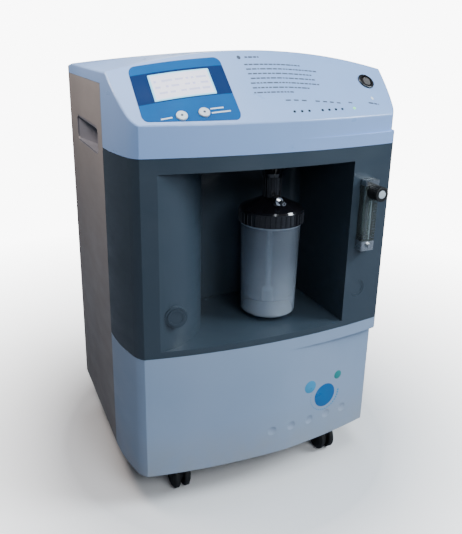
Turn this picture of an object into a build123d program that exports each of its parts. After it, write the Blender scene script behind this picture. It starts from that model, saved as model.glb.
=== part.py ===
from build123d import *
import math
import os

# Oxygen concentrator on four casters, in millimetres. The front faces -Y and +Z is up.
# The origin is on the floor, under the middle of the whole object's box.

os.makedirs("parts", exist_ok=True)

# ---- driving dimensions -------------------------------------------------------------
half_width = 190.0          # case, side panel to centre
chord_half = 169.5          # front corner to centre
front_y = -139.0            # line joining the two front corners
bow = 16.0                  # how far the front stands out in the middle
side_front_y = -52.0        # where the front covers end on the sides
back_y = 174.0              # outer face of the rear panel
rear_corner = 14.0          # radius of the rear vertical corners
wall = 3.0                  # moulded covers
seam = 0.4                  # gap between neighbouring covers

base_z = 52.0               # underside of the case
lower_top_z = 225.0         # white lower cover meets the grey one
middle_top_z = 473.0        # grey cover meets the top cover
panel_low_z = 509.5         # lower edge of the sloped control panel
side_top_z = 548.0          # side and rear panels meet the top cover
rear_top_z = 557.0          # top cover at the back
crown_z = 585.5             # top of the arch
arch_side_z = 561.0         # arch height over the sides
arch_y = -69.0              # top edge of the control panel
panel_slope = 0.866         # rise over run of the control panel

lower_crease_z = 208.0      # step across the right half of the lower cover
upper_crease_z = 488.0      # step across the right half of the top cover
crease_x = 25.0             # both steps fade out here
lower_recess = 8.0          # depth of the lower step at the corner
upper_recess = 4.2          # depth of the upper step at the corner

# ---- shape of the case --------------------------------------------------------------
bow_radius = (chord_half**2 + bow**2) / (2 * bow)
bow_centre_y = front_y - bow + bow_radius
shoulder_x = 179.0          # where the tight corner arc meets the long side arc
shoulder_y = front_y + 14.0


def front_surface(x, recess=0.0):
    """Y of the bowed front at x. Right of crease_x it is turned back, by recess at the corner."""
    if x <= crease_x or recess == 0.0:
        return bow_centre_y - math.sqrt(bow_radius**2 - x**2)
    turn = math.atan(recess / (chord_half - crease_x))
    pivot_y = front_surface(crease_x)
    arm_x = -crease_x
    arm_y = bow_centre_y - pivot_y
    centre_x = crease_x + arm_x * math.cos(turn) - arm_y * math.sin(turn)
    centre_y = pivot_y + arm_x * math.sin(turn) + arm_y * math.cos(turn)
    return centre_y - math.sqrt(bow_radius**2 - (x - centre_x) ** 2)


def panel_surface(x, y):
    """Z of the sloped control panel, which follows the bow of the front."""
    return panel_low_z + panel_slope * (y - front_surface(x, upper_recess))


def front_plane(x, z):
    """Plane on the bowed front, facing out."""
    slope = x / math.sqrt(bow_radius**2 - x**2)
    return Plane(origin=(x, front_surface(x), z), x_dir=(1, slope, 0), z_dir=(slope, -1, 0))


def panel_plane(x, y, lift=0.0):
    """Plane on the sloped control panel, facing out, raised by lift."""
    step = 1.0
    tilt = (panel_surface(x + step, y) - panel_surface(x - step, y)) / (2 * step)
    plane = Plane(origin=(x, y, panel_surface(x, y)), x_dir=(1, 0, tilt), z_dir=(-tilt, -panel_slope, 1))
    return plane.offset(lift)


def case_outline(height, inset=0.0, recess=0.0):
    """Plan outline of the case at a height, drawn in by inset."""
    corner_x = chord_half - 0.12 * recess
    corner_y = front_surface(corner_x, recess)
    mid_x = (crease_x + corner_x) / 2
    with BuildSketch(Plane.XY.offset(height)) as outline:
        with BuildLine():
            ThreePointArc(
                (-chord_half, front_y),
                (-chord_half / 2, front_surface(-chord_half / 2)),
                (crease_x, front_surface(crease_x)),
            )
            ThreePointArc(
                (crease_x, front_surface(crease_x)),
                (mid_x, front_surface(mid_x, recess)),
                (corner_x, corner_y),
            )
            right_side = TangentArc(
                (half_width, side_front_y),
                (shoulder_x - 0.2 * recess, shoulder_y + recess),
                tangent=(0, -1),
            )
            TangentArc(right_side @ 1, (corner_x, corner_y), tangent=right_side % 1)
            left_side = TangentArc(
                (-half_width, side_front_y), (-shoulder_x, shoulder_y), tangent=(0, -1)
            )
            TangentArc(left_side @ 1, (-chord_half, front_y), tangent=left_side % 1)
            back_left = Line((-half_width, side_front_y), (-half_width, back_y - rear_corner))
            back_right = Line((half_width, side_front_y), (half_width, back_y - rear_corner))
            left_turn = RadiusArc(back_left @ 1, (-half_width + rear_corner, back_y), rear_corner)
            right_turn = RadiusArc(back_right @ 1, (half_width - rear_corner, back_y), -rear_corner)
            Line(left_turn @ 1, right_turn @ 1)
        make_face()
        if inset:
            offset(amount=-inset)
    return outline.sketch


def case_prism(low, high, inset=0.0, recess=0.0):
    """Solid block of the case's plan between two heights."""
    with BuildPart() as prism:
        add(case_outline(low, inset, recess))
        extrude(amount=high - low)
    return prism.part


def finish(part, name):
    """Labels one finished sub-part and writes it."""
    part.label = name
    export_step(part, f"parts/{name}.step")
    print(name, round(part.volume))


# ---- top cover ----------------------------------------------------------------------
far = 260.0                 # beyond every side of the case
lead = 20.0                 # how far in front of the case the cut along the panel starts


def hood_envelope(low, inset=0.0, drop=0.0):
    """Block under the arched hood and the sloped panel, drawn in and lowered for its inside."""
    with BuildPart() as envelope:
        add(case_prism(low, crown_z + 20, inset, upper_recess))
        # in front of the sloped panel
        with BuildSketch(Plane.XY.offset(panel_low_z - drop - panel_slope * lead)):
            with BuildLine():
                left = ThreePointArc(
                    (-200, front_surface(-200) - lead),
                    (-90, front_surface(-90) - lead),
                    (crease_x, front_surface(crease_x) - lead),
                )
                right = ThreePointArc(
                    left @ 1,
                    (110, front_surface(110, upper_recess) - lead),
                    (200, front_surface(200, upper_recess) - lead),
                )
                Polyline(right @ 1, (200, -2 * far), (-200, -2 * far), left @ 0)
            make_face()
        extrude(amount=2 * far, dir=(0, 1, panel_slope), mode=Mode.SUBTRACT)
        # above the arch
        with BuildSketch(Plane.XZ):
            with BuildLine():
                arch = ThreePointArc(
                    (-half_width - 2, arch_side_z - drop),
                    (0, crown_z - drop),
                    (half_width + 2, arch_side_z - drop),
                )
                Polyline(arch @ 1, (half_width + 2, far * 3), (-half_width - 2, far * 3), arch @ 0)
            make_face()
        extrude(amount=far, both=True, mode=Mode.SUBTRACT)
        # above the fall towards the back
        with BuildSketch(Plane.YZ):
            with BuildLine():
                Polyline(
                    (arch_y + 12, crown_z - drop),
                    (back_y, rear_top_z - drop),
                    (back_y + 10, rear_top_z - drop - 1.2),
                    (back_y + 10, far * 3),
                    (arch_y + 12, far * 3),
                    close=True,
                )
            make_face()
        extrude(amount=far, both=True, mode=Mode.SUBTRACT)
    return envelope.part


arch_rounding = 5.0
rim_rounding = 2.5
lip_rounding = 3.0


def lowest_end(edge):
    """Height of the lower end of an edge."""
    return min((edge @ 0).Z, (edge @ 1).Z)


def is_arch_edge(edge):
    """The edge between the sloped panel and the arched top."""
    level = abs((edge @ 0).Y - (edge @ 1).Y) < 10
    return lowest_end(edge) > arch_side_z - 5 and level and abs(edge.center().Y - arch_y) < 5


def is_panel_lip(edge):
    """The lower edge of the sloped panel."""
    return abs((edge @ 0).Z - panel_low_z) < 0.3 and abs((edge @ 1).Z - panel_low_z) < 0.3


def is_rim(edge):
    """The edges between the top and the upright sides, and down the ends of the sloped panel."""
    crown_line = abs(edge.center().X) < half_width - 40 and edge.center().Y < back_y - 5
    return lowest_end(edge) > panel_low_z - 0.5 and not crown_line and not is_panel_lip(edge)


button_xs = (-119.0, -92.5)
button_y = -137.6
button_radius = 6.5
led_xs = (19.0, 29.3, 39.6, 59.0, 69.0, 79.0, 89.0, 108.5)
led_radius = 1.6
led_hole_sides = 12
led_back = 10.8             # behind the front edge of the panel
switch_x = 151.0
switch_y = -95.0
switch_hole_radius = 10.2
display_box = (-143.5, -69.0, -118.3, -88.0)     # low x, high x, low y, high y
label_left = -163.0
label_right = -50.0
label_top_y = -75.0
hood_inset_drop = 4.0       # gives the sloped panel its thickness

with BuildPart() as top_cover:
    add(hood_envelope(upper_crease_z))
    fillet(top_cover.edges().filter_by(is_arch_edge), arch_rounding)
    fillet(top_cover.edges().filter_by(is_panel_lip), lip_rounding)
    fillet(top_cover.edges().filter_by(is_rim), rim_rounding)
    add(case_prism(middle_top_z + seam / 2, upper_crease_z))
    # near-round holes of the indicator lights
    for x in led_xs:
        with BuildSketch(panel_plane(x, front_surface(x, upper_recess) + led_back, 10)):
            RegularPolygon(led_radius + 0.15, led_hole_sides)
        extrude(amount=-20, mode=Mode.SUBTRACT)
    add(hood_envelope(middle_top_z - 8, wall, hood_inset_drop), mode=Mode.SUBTRACT)
    # the side panels stand behind the front part
    with BuildSketch(Plane.XY.offset(middle_top_z - 1)):
        with Locations((0, (side_front_y + back_y) / 2 + 20)):
            Rectangle(2 * far, back_y - side_front_y + 40)
    extrude(amount=side_top_z - middle_top_z + 1 + seam / 2, mode=Mode.SUBTRACT)
    # holes of the buttons, the switch and the display
    for x in button_xs:
        with BuildSketch(panel_plane(x, button_y, 10)):
            Circle(button_radius + 0.3)
        extrude(amount=-25, mode=Mode.SUBTRACT)
    with BuildSketch(panel_plane(switch_x, switch_y, 5)):
        Circle(switch_hole_radius)
    extrude(amount=-20, mode=Mode.SUBTRACT)
    with BuildSketch(Plane.XY.offset(middle_top_z)):
        with Locations(((display_box[0] + display_box[1]) / 2, (display_box[2] + display_box[3]) / 2)):
            Rectangle(display_box[1] - display_box[0] - 4, display_box[3] - display_box[2] - 4)
    extrude(amount=120, mode=Mode.SUBTRACT)
finish(top_cover.part, "top_cover")


def skin_piece(outline_sketch, lift_from, lift_to):
    """Thin sheet lying on the sloped panel, between two heights above it, in a plan outline."""
    with BuildPart() as sheet:
        add(hood_envelope(panel_low_z - 20, 0, -lift_to))
        add(hood_envelope(panel_low_z - 40, -1, -lift_from), mode=Mode.SUBTRACT)
        with BuildPart(mode=Mode.PRIVATE) as column:
            add(outline_sketch)
            extrude(amount=120)
        add(column.part, mode=Mode.INTERSECT)
    return sheet.part


# ---- control panel ------------------------------------------------------------------
label_base = Plane.XY.offset(panel_low_z - 30)
label_front_gap = 3.8

with BuildSketch(label_base) as label_plan:
    with BuildLine():
        lower_edge = ThreePointArc(
            (label_left, front_surface(label_left) + label_front_gap),
            (-110, front_surface(-110) + label_front_gap),
            (label_right, front_surface(label_right) + label_front_gap),
        )
        Polyline(lower_edge @ 1, (label_right, label_top_y), (label_left, label_top_y), lower_edge @ 0)
    make_face()
    fillet(vertices(), 8)
    with Locations(((display_box[0] + display_box[1]) / 2, (display_box[2] + display_box[3]) / 2)):
        Rectangle(display_box[1] - display_box[0], display_box[3] - display_box[2], mode=Mode.SUBTRACT)

label_thickness = 0.5
with BuildPart() as control_label:
    add(skin_piece(label_plan.sketch, 0.0, label_thickness))
    for x in button_xs:
        with BuildSketch(panel_plane(x, button_y, 10)):
            Circle(button_radius + 0.3)
        extrude(amount=-25, mode=Mode.SUBTRACT)
finish(control_label.part, "control_label")

with BuildSketch(label_base) as window_plan:
    with Locations(((display_box[0] + display_box[1]) / 2, (display_box[2] + display_box[3]) / 2)):
        RectangleRounded(
            display_box[1] - display_box[0] - 0.4, display_box[3] - display_box[2] - 0.4, 1.0
        )

with BuildPart() as display_window:
    add(skin_piece(window_plan.sketch, 0.0, 0.8))
finish(display_window.part, "display_window")

display_mid_x = (display_box[0] + display_box[1]) / 2
display_mid_y = (display_box[2] + display_box[3]) / 2
display_plane = panel_plane(display_mid_x, display_mid_y, -9.0)
screen_size = (80.0, 48.0, 6.0)
screen_board_size = (88.0, 54.0, 1.6)
with BuildPart() as display_module:
    with BuildSketch(display_plane):
        Rectangle(screen_size[0], screen_size[1])
    extrude(amount=-screen_size[2])
    with BuildSketch(display_plane.offset(-screen_size[2])):
        Rectangle(screen_board_size[0], screen_board_size[1])
    extrude(amount=-screen_board_size[2])
finish(display_module.part, "display_module")

with BuildPart() as indicator_leds:
    for x in led_xs:
        with BuildSketch(panel_plane(x, front_surface(x, upper_recess) + led_back, -6)):
            Circle(led_radius)
        extrude(amount=6.5)
finish(indicator_leds.part, "indicator_leds")


def panel_button(x, name):
    """Round dished push button with a collar behind the panel."""
    with BuildPart() as button:
        with BuildSketch(panel_plane(x, button_y, -4.9)):
            Circle(button_radius)
        extrude(amount=7.2)
        fillet(button.faces().sort_by(Axis((x, button_y, 500), (0, -panel_slope, 1)))[-1].edges(), 0.8)
        with BuildSketch(panel_plane(x, button_y, -6.4)):
            Circle(button_radius + 1.2)
        extrude(amount=1.5)
    finish(button.part, name)


panel_button(button_xs[0], "left_button")
panel_button(button_xs[1], "right_button")

switch_plane = panel_plane(switch_x, switch_y)
rocker_radius = 8.0
bezel_radius = 11.8
with BuildPart() as power_switch_bezel:
    with BuildSketch(switch_plane.offset(0.05)):
        Circle(bezel_radius)
    extrude(amount=2.2)
    switch_axis = Axis((switch_x, switch_y, 500), (0, -panel_slope, 1))
    fillet(power_switch_bezel.edges().sort_by(switch_axis)[-1], 1.2)
    with BuildSketch(switch_plane.offset(0.05)):
        Circle(switch_hole_radius - 0.3)
    extrude(amount=-16)
    with BuildSketch(switch_plane.offset(5)):
        Circle(rocker_radius)
    extrude(amount=-17, mode=Mode.SUBTRACT)
finish(power_switch_bezel.part, "power_switch_bezel")

rocker_pivot_depth = 3.0
rocker_tilt = 9.0
rocker_face = 5.2           # pressed face above the pivot
rocker_depth = 4.0
pivot_plane = switch_plane.offset(-rocker_pivot_depth)
rocker_plane = Plane(
    origin=pivot_plane.origin,
    x_dir=switch_plane.x_dir,
    z_dir=switch_plane.rotated((rocker_tilt, 0, 0)).z_dir,
)
print("rocker pivot", pivot_plane.origin, "axis", switch_plane.x_dir, "outward", switch_plane.z_dir)
with BuildPart() as power_rocker:
    # a ball trimmed to a disc clears the round bezel as it tips about its middle
    with Locations(pivot_plane.origin):
        Sphere(rocker_radius - 0.3)
    with BuildSketch(rocker_plane.offset(rocker_face)):
        Circle(2 * rocker_radius)
    extrude(amount=rocker_radius, mode=Mode.SUBTRACT)
    with BuildSketch(rocker_plane.offset(-rocker_depth)):
        Circle(2 * rocker_radius)
    extrude(amount=-rocker_radius, mode=Mode.SUBTRACT)
finish(power_rocker.part, "power_rocker")

# ---- grey middle cover with the humidifier niche ------------------------------------
niche_floor_z = 233.5
niche_ceiling_z = 455.0
niche_left_x = -150.0
niche_right_x = 107.0
niche_back_y = -7.0
wing_radius = 91.0
wing_centre = (-160.0, -52.0)
wing_mid_angle = math.radians(-40)
niche_corner = 12.0


def niche_prism(low, high, grow=0.0):
    """The niche's space, whose left wall is a convex wing that flows out of the front."""
    start = (niche_left_x, front_surface(niche_left_x))
    middle = (
        wing_centre[0] + wing_radius * math.cos(wing_mid_angle),
        wing_centre[1] + wing_radius * math.sin(wing_mid_angle),
    )
    with BuildPart() as prism:
        with BuildSketch(Plane.XY.offset(low)):
            with BuildLine():
                wing = ThreePointArc(start, middle, (wing_centre[0] + wing_radius, wing_centre[1]))
                left = Line(wing @ 1, (wing_centre[0] + wing_radius, niche_back_y))
                back = Line(left @ 1, (niche_right_x, niche_back_y))
                right = Line(back @ 1, (niche_right_x, front_y - 60))
                Polyline(right @ 1, (niche_left_x, front_y - 60), start)
            make_face()
            back_corners = [vertices().sort_by_distance(back @ end)[0] for end in (0, 1)]
            fillet(back_corners, niche_corner)
            if grow:
                offset(amount=grow)
        extrude(amount=high - low)
    return prism.part


flow_x = 129.5
flow_half_width = 10.0
flow_low_z = 337.0
flow_high_z = 431.0
plug_x = 130.0
plug_z = 278.0
plug_radius = 10.8
socket_x = 27.0
socket_y = -81.0
behind_sides = Plane(origin=(0, side_front_y, 0), z_dir=(0, -1, 0))

with BuildPart() as middle_front_cover:
    add(case_prism(lower_top_z + seam / 2, middle_top_z - seam / 2))
    add(case_prism(lower_top_z, middle_top_z, wall), mode=Mode.SUBTRACT)
    split(bisect_by=behind_sides)
    with BuildPart(mode=Mode.PRIVATE) as niche_walls:
        add(niche_prism(niche_floor_z - wall, niche_ceiling_z + wall, wall))
        add(case_prism(lower_top_z, middle_top_z, 0.5), mode=Mode.INTERSECT)
    add(niche_walls.part)
    add(niche_prism(niche_floor_z, niche_ceiling_z), mode=Mode.SUBTRACT)
    # hole for the humidifier socket
    with BuildSketch(Plane.XY.offset(niche_ceiling_z - 1)):
        with Locations((socket_x, socket_y)):
            Circle(9.2)
    extrude(amount=wall + 2, mode=Mode.SUBTRACT)
    # cut-out that holds the flowmeter
    with BuildSketch(Plane.XZ.offset(-front_y - 20)):
        with Locations((flow_x, (flow_low_z + flow_high_z) / 2)):
            Rectangle(2 * flow_half_width + 0.4, flow_high_z - flow_low_z + 0.4)
    extrude(amount=60, mode=Mode.SUBTRACT)
    # shallow seats of the screw plugs, on a boss behind
    for x in (-plug_x, plug_x):
        with BuildSketch(front_plane(x, plug_z).offset(-1.5)):
            Circle(plug_radius + 3)
        extrude(amount=-5)
        with BuildSketch(front_plane(x, plug_z).offset(-2.0)):
            Circle(plug_radius + 0.3)
        extrude(amount=10, mode=Mode.SUBTRACT)
finish(middle_front_cover.part, "middle_front_cover")

with BuildPart() as screw_plugs:
    for x in (-plug_x, plug_x):
        with BuildSketch(front_plane(x, plug_z).offset(-2.0)):
            Circle(plug_radius)
        extrude(amount=1.6)
        with BuildSketch(front_plane(x, plug_z).offset(-0.4)):
            Circle(plug_radius - 2.5)
        extrude(amount=-0.5, mode=Mode.SUBTRACT)
finish(screw_plugs.part, "screw_plugs")

# ---- white lower cover --------------------------------------------------------------
dimple_xs = [3.5 + 30.4 * index for index in range(5)]
dimple_z = 88.0
dimple_sphere = 22.0
dimple_depth = 1.1

with BuildPart() as lower_front_cover:
    add(case_prism(base_z, lower_crease_z, 0, lower_recess))
    add(case_prism(lower_crease_z, lower_top_z - seam / 2))
    add(case_prism(base_z, lower_top_z, wall, lower_recess), mode=Mode.SUBTRACT)
    split(bisect_by=behind_sides)
    for x in dimple_xs:
        with Locations((x, front_surface(x, lower_recess) - dimple_sphere + dimple_depth, dimple_z)):
            Sphere(dimple_sphere, mode=Mode.SUBTRACT)
finish(lower_front_cover.part, "lower_front_cover")

# ---- side panels with handle cups ---------------------------------------------------
cup_front_y = -27.0
cup_rear_y = 110.0
cup_low_z = 458.0
cup_high_z = 494.0
cup_corner = 13.0
cup_floor_x = 158.0
cup_mid_y = (cup_front_y + cup_rear_y) / 2
cup_mid_z = (cup_low_z + cup_high_z) / 2
cup_length = cup_rear_y - cup_front_y
cup_height = cup_high_z - cup_low_z
rear_panel_half = half_width - rear_corner - wall


def side_panel(side, name):
    """One side shell, from the front covers round the rear corner to the rear panel."""
    with BuildPart() as panel:
        add(case_prism(base_z, side_top_z - seam / 2))
        add(case_prism(base_z, side_top_z, wall), mode=Mode.SUBTRACT)
        split(bisect_by=Plane(origin=(0, side_front_y + seam, 0), z_dir=(0, 1, 0)))
        split(bisect_by=Plane(origin=(side * (rear_panel_half + seam / 2), 0, 0), z_dir=(side, 0, 0)))
        with BuildSketch(Plane.YZ.offset(side * (half_width + 5))):
            with Locations((cup_mid_y, cup_mid_z)):
                RectangleRounded(cup_length + 0.4, cup_height + 0.4, cup_corner)
        extrude(amount=-side * 20, mode=Mode.SUBTRACT)
    finish(panel.part, name)


def handle_cup(side, name):
    """Scooped hand hold: a ramp from the rear into a deeper pocket at the front."""
    with BuildPart() as cup:
        with BuildSketch(Plane.YZ.offset(side * (half_width - 0.3))):
            with Locations((cup_mid_y, cup_mid_z)):
                RectangleRounded(cup_length, cup_height, cup_corner)
        extrude(amount=-side * (half_width - cup_floor_x))
        with BuildSketch(Plane.YZ.offset(side * (half_width - wall - 0.1))):
            with Locations((cup_mid_y, cup_mid_z)):
                RectangleRounded(cup_length + 14, cup_height + 14, cup_corner + 5)
        extrude(amount=-side * 2.2)
        with BuildSketch(Plane.XY.offset(cup_low_z + 2.5)):
            with BuildLine():
                Polyline(
                    (side * (half_width + 3), cup_rear_y - 3),
                    (side * (half_width - 2), cup_rear_y - 3),
                    (side * (half_width - 15), 46),
                    (side * (half_width - 18), 16),
                    (side * (cup_floor_x + 3), 8),
                    (side * (cup_floor_x + 3), cup_front_y + 8),
                    (side * (cup_floor_x + 8), cup_front_y + 3),
                    (side * (half_width + 3), cup_front_y + 3),
                    close=True,
                )
            make_face()
        extrude(amount=cup_height - 5, mode=Mode.SUBTRACT)
    finish(cup.part, name)


side_panel(-1, "left_side_panel")
side_panel(1, "right_side_panel")
handle_cup(-1, "left_handle_cup")
handle_cup(1, "right_handle_cup")

# ---- rear panel and what it carries -------------------------------------------------
grille_x = -70.0
grille_z = 410.0
grille_size = 120.0
filter_size = 100.0
inlet_x = 110.0
inlet_z = 100.0
inlet_width = 48.0
inlet_height = 27.0
breaker_x = 62.0
breaker_z = 100.0
vent_count = 9
vent_x = -75.0
vent_z = 118.0

with BuildPart() as rear_panel:
    with BuildSketch(Plane.XZ.offset(-back_y)):
        with Locations((0, (base_z + side_top_z) / 2)):
            Rectangle(2 * rear_panel_half - seam, side_top_z - base_z - seam)
        with Locations((grille_x, grille_z)):
            Rectangle(filter_size + 1, filter_size + 1, mode=Mode.SUBTRACT)
        with Locations((inlet_x, inlet_z)):
            Rectangle(inlet_width - 18, inlet_height - 6, mode=Mode.SUBTRACT)
        with Locations((breaker_x, breaker_z)):
            Circle(6.2, mode=Mode.SUBTRACT)
        with Locations((vent_x, vent_z)):
            with GridLocations(0, 11, 1, vent_count):
                SlotOverall(150, 5, mode=Mode.SUBTRACT)
    extrude(amount=wall)
finish(rear_panel.part, "rear_panel")

with BuildPart() as intake_foam:
    with BuildSketch(Plane.XZ.offset(-back_y)):
        with Locations((grille_x, grille_z)):
            Rectangle(filter_size, filter_size)
    extrude(amount=10)
finish(intake_foam.part, "intake_foam")

with BuildPart() as intake_grille:
    with BuildSketch(Plane.XZ.offset(-back_y)):
        with Locations((grille_x, grille_z)):
            RectangleRounded(grille_size, grille_size, 6)
            with GridLocations(0, 9.5, 1, 10):
                SlotOverall(grille_size - 22, 5.5, mode=Mode.SUBTRACT)
    extrude(amount=-5)
    fillet(intake_grille.faces().sort_by(Axis.Y)[-1].outer_wire().edges(), 2.5)
finish(intake_grille.part, "intake_grille")

inlet_cavity = (24.5, 16.5)
inlet_flange = 2.5
inlet_body_depth = 24.0
inlet_cavity_depth = 16.0
inlet_pin_length = 14.0
inlet_pins = [(inlet_x - 7, inlet_z + 2), (inlet_x, inlet_z - 2), (inlet_x + 7, inlet_z + 2)]
with BuildPart() as power_inlet:
    with BuildSketch(Plane.XZ.offset(-back_y)):
        with Locations((inlet_x, inlet_z)):
            RectangleRounded(inlet_width, inlet_height, 3)
            with GridLocations(40, 0, 2, 1):
                Circle(1.7, mode=Mode.SUBTRACT)
    extrude(amount=-inlet_flange)
    with BuildSketch(Plane.XZ.offset(-back_y)):
        with Locations((inlet_x, inlet_z)):
            Rectangle(inlet_width - 18.6, inlet_height - 6.6)
    extrude(amount=inlet_body_depth)
    with BuildSketch(Plane.XZ.offset(-back_y + inlet_cavity_depth)):
        with Locations((inlet_x, inlet_z)):
            Rectangle(inlet_cavity[0], inlet_cavity[1])
    extrude(amount=-inlet_cavity_depth - inlet_flange - 1, mode=Mode.SUBTRACT)
    with BuildSketch(Plane.XZ.offset(-back_y + inlet_cavity_depth + 0.5)):
        with Locations(*inlet_pins):
            Rectangle(2, 4)
    extrude(amount=-inlet_pin_length)
finish(power_inlet.part, "power_inlet")

with BuildPart() as breaker_body:
    with BuildSketch(Plane.XZ.offset(-back_y)):
        with Locations((breaker_x, breaker_z)):
            Circle(8.5)
    extrude(amount=-2)
    with BuildSketch(Plane.XZ.offset(-back_y)):
        with Locations((breaker_x, breaker_z)):
            Circle(6.0)
    extrude(amount=22)
    with BuildSketch(Plane.XZ.offset(-back_y - 5)):
        with Locations((breaker_x, breaker_z)):
            Circle(3.6)
    extrude(amount=17, mode=Mode.SUBTRACT)
finish(breaker_body.part, "breaker_body")

with BuildPart() as breaker_button:
    with BuildSketch(Plane.XZ.offset(-back_y + 6)):
        with Locations((breaker_x, breaker_z)):
            Circle(3.3)
    extrude(amount=-10.5)
    fillet(breaker_button.faces().sort_by(Axis.Y)[-1].edges(), 0.8)
finish(breaker_button.part, "breaker_button")

rear_screws = [(side * 160, height) for side in (-1, 1) for height in (70, 220, 380, 530)]
with BuildPart() as casing_screws:
    for x, z in rear_screws:
        with BuildSketch(Plane.XZ.offset(-back_y)):
            with Locations((x, z)):
                Circle(4)
        extrude(amount=-2.2)
        with BuildSketch(Plane.XZ.offset(-back_y - 2.2)):
            with Locations((x, z)):
                Rectangle(5, 1)
                Rectangle(1, 5)
        extrude(amount=1.2, mode=Mode.SUBTRACT)
finish(casing_screws.part, "casing_screws")

# ---- flowmeter ----------------------------------------------------------------------
flow_front_y = -160.0
flow_back_y = -133.0
flow_mid_y = -153.0
flow_bore = 3.6
tube_low_z = 350.0
tube_high_z = 424.0
bore_top_z = 404.0
knob_x = flow_x + 0.5
knob_z = 417.0
knob_radius = 9.5
knob_length = 18.6
knob_stem = 3.0
running_gap = 0.05


def flow_block(low, high):
    """One length of the flowmeter's square block, which is mounted through the front."""
    with BuildPart() as block:
        with BuildSketch(Plane.XY.offset(low)):
            with Locations((flow_x, (flow_front_y + flow_back_y) / 2)):
                Rectangle(2 * flow_half_width, flow_back_y - flow_front_y)
        extrude(amount=high - low)
        chamfer(block.faces().sort_by(Axis.Y)[0].edges().filter_by(Axis.Z), 1.2)
    return block.part


with BuildPart() as flowmeter_tube:
    add(flow_block(tube_low_z, tube_high_z))
    with BuildSketch(Plane.XY.offset(tube_low_z - 1)):
        with Locations((flow_x, flow_mid_y)):
            Circle(flow_bore)
    extrude(amount=bore_top_z - tube_low_z + 1, mode=Mode.SUBTRACT)
    # hole of the needle valve's stem
    with BuildSketch(Plane.XZ.offset(-flow_front_y + 1)):
        with Locations((knob_x, knob_z)):
            Circle(knob_stem / 2 + running_gap)
    extrude(amount=-9, mode=Mode.SUBTRACT)
finish(flowmeter_tube.part, "flowmeter_tube")

with BuildPart() as flowmeter_end_blocks:
    add(flow_block(flow_low_z, tube_low_z))
    add(flow_block(tube_high_z, flow_high_z))
    with BuildSketch(Plane.XZ.offset(-flow_front_y)):
        with Locations((flow_x + 2, flow_low_z + 7)):
            Circle(4.2)
    extrude(amount=3.5)
finish(flowmeter_end_blocks.part, "flowmeter_end_blocks")

with BuildPart() as flow_knob:
    with BuildSketch(Plane.XZ.offset(-flow_front_y + 0.4)):
        with Locations((knob_x, knob_z)):
            Circle(knob_radius)
            with PolarLocations(knob_radius + 0.3, 24):
                Circle(0.9, mode=Mode.SUBTRACT)
    extrude(amount=knob_length)
    fillet(flow_knob.faces().sort_by(Axis.Y)[0].outer_wire().edges(), 0.5)
    with BuildSketch(Plane.XZ.offset(-flow_front_y + 0.4 + knob_length)):
        with Locations((knob_x, knob_z)):
            Circle(5.5)
    extrude(amount=-0.8, mode=Mode.SUBTRACT)
    with BuildSketch(Plane.XZ.offset(-flow_front_y + 0.4)):
        with Locations((knob_x, knob_z)):
            Circle(knob_stem / 2)
    extrude(amount=-7)
finish(flow_knob.part, "flow_knob")

float_radius = 3.3
with BuildPart() as flow_float:
    with Locations((flow_x, flow_mid_y, tube_low_z + float_radius + 0.2)):
        Sphere(float_radius)
finish(flow_float.part, "flow_float")

# ---- humidifier ---------------------------------------------------------------------
lid_low_z = 368.0
lid_shoulder_z = 386.0
lid_radius = 43.2
neck_base_z = 400.7
neck_radius = 8.5
neck_top_z = 414.0
nut_radius = 12.7
nut_low_z = 401.2
nut_high_z = 427.5
jar_top_z = 382.0
jar_bottom_z = 239.0
jar_top_radius = 40.5
jar_bottom_radius = 37.5
jar_wall = 1.8
outlet_x = 22.0
outlet_post_y = -102.0
outlet_seat_y = -109.0
outlet_z = 401.0
outlet_radius = 3.0
outlet_length = 12.0
outlet_collar = 3.0
bottle_plane = Plane(origin=(socket_x, socket_y, 0), x_dir=(1, 0, 0), z_dir=(0, -1, 0))
bottle_axis = Axis((socket_x, socket_y, 0), (0, 0, 1))

with BuildPart() as humidifier_socket:
    with BuildSketch(bottle_plane):
        Polygon(
            (0, 416),
            (neck_radius, 416),
            (neck_radius, nut_high_z + 0.5),
            (nut_radius, nut_high_z + 0.5),
            (nut_radius + 1.5, 433),
            (23, 446),
            (25, niche_ceiling_z),
            (9, niche_ceiling_z),
            (9, niche_ceiling_z + 14),
            (0, niche_ceiling_z + 14),
            align=None,
        )
    revolve(axis=bottle_axis)
    with Locations((socket_x, socket_y, 440)):
        Cylinder(3, 80, mode=Mode.SUBTRACT)
finish(humidifier_socket.part, "humidifier_socket")

with BuildPart() as humidifier_nut:
    with BuildSketch(Plane.XY.offset(nut_low_z)):
        with Locations((socket_x, socket_y)):
            Circle(nut_radius)
            Circle(neck_radius + running_gap, mode=Mode.SUBTRACT)
            with PolarLocations(nut_radius + 0.4, 20):
                Circle(1.0, mode=Mode.SUBTRACT)
    extrude(amount=nut_high_z - nut_low_z)
finish(humidifier_nut.part, "humidifier_nut")

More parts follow.
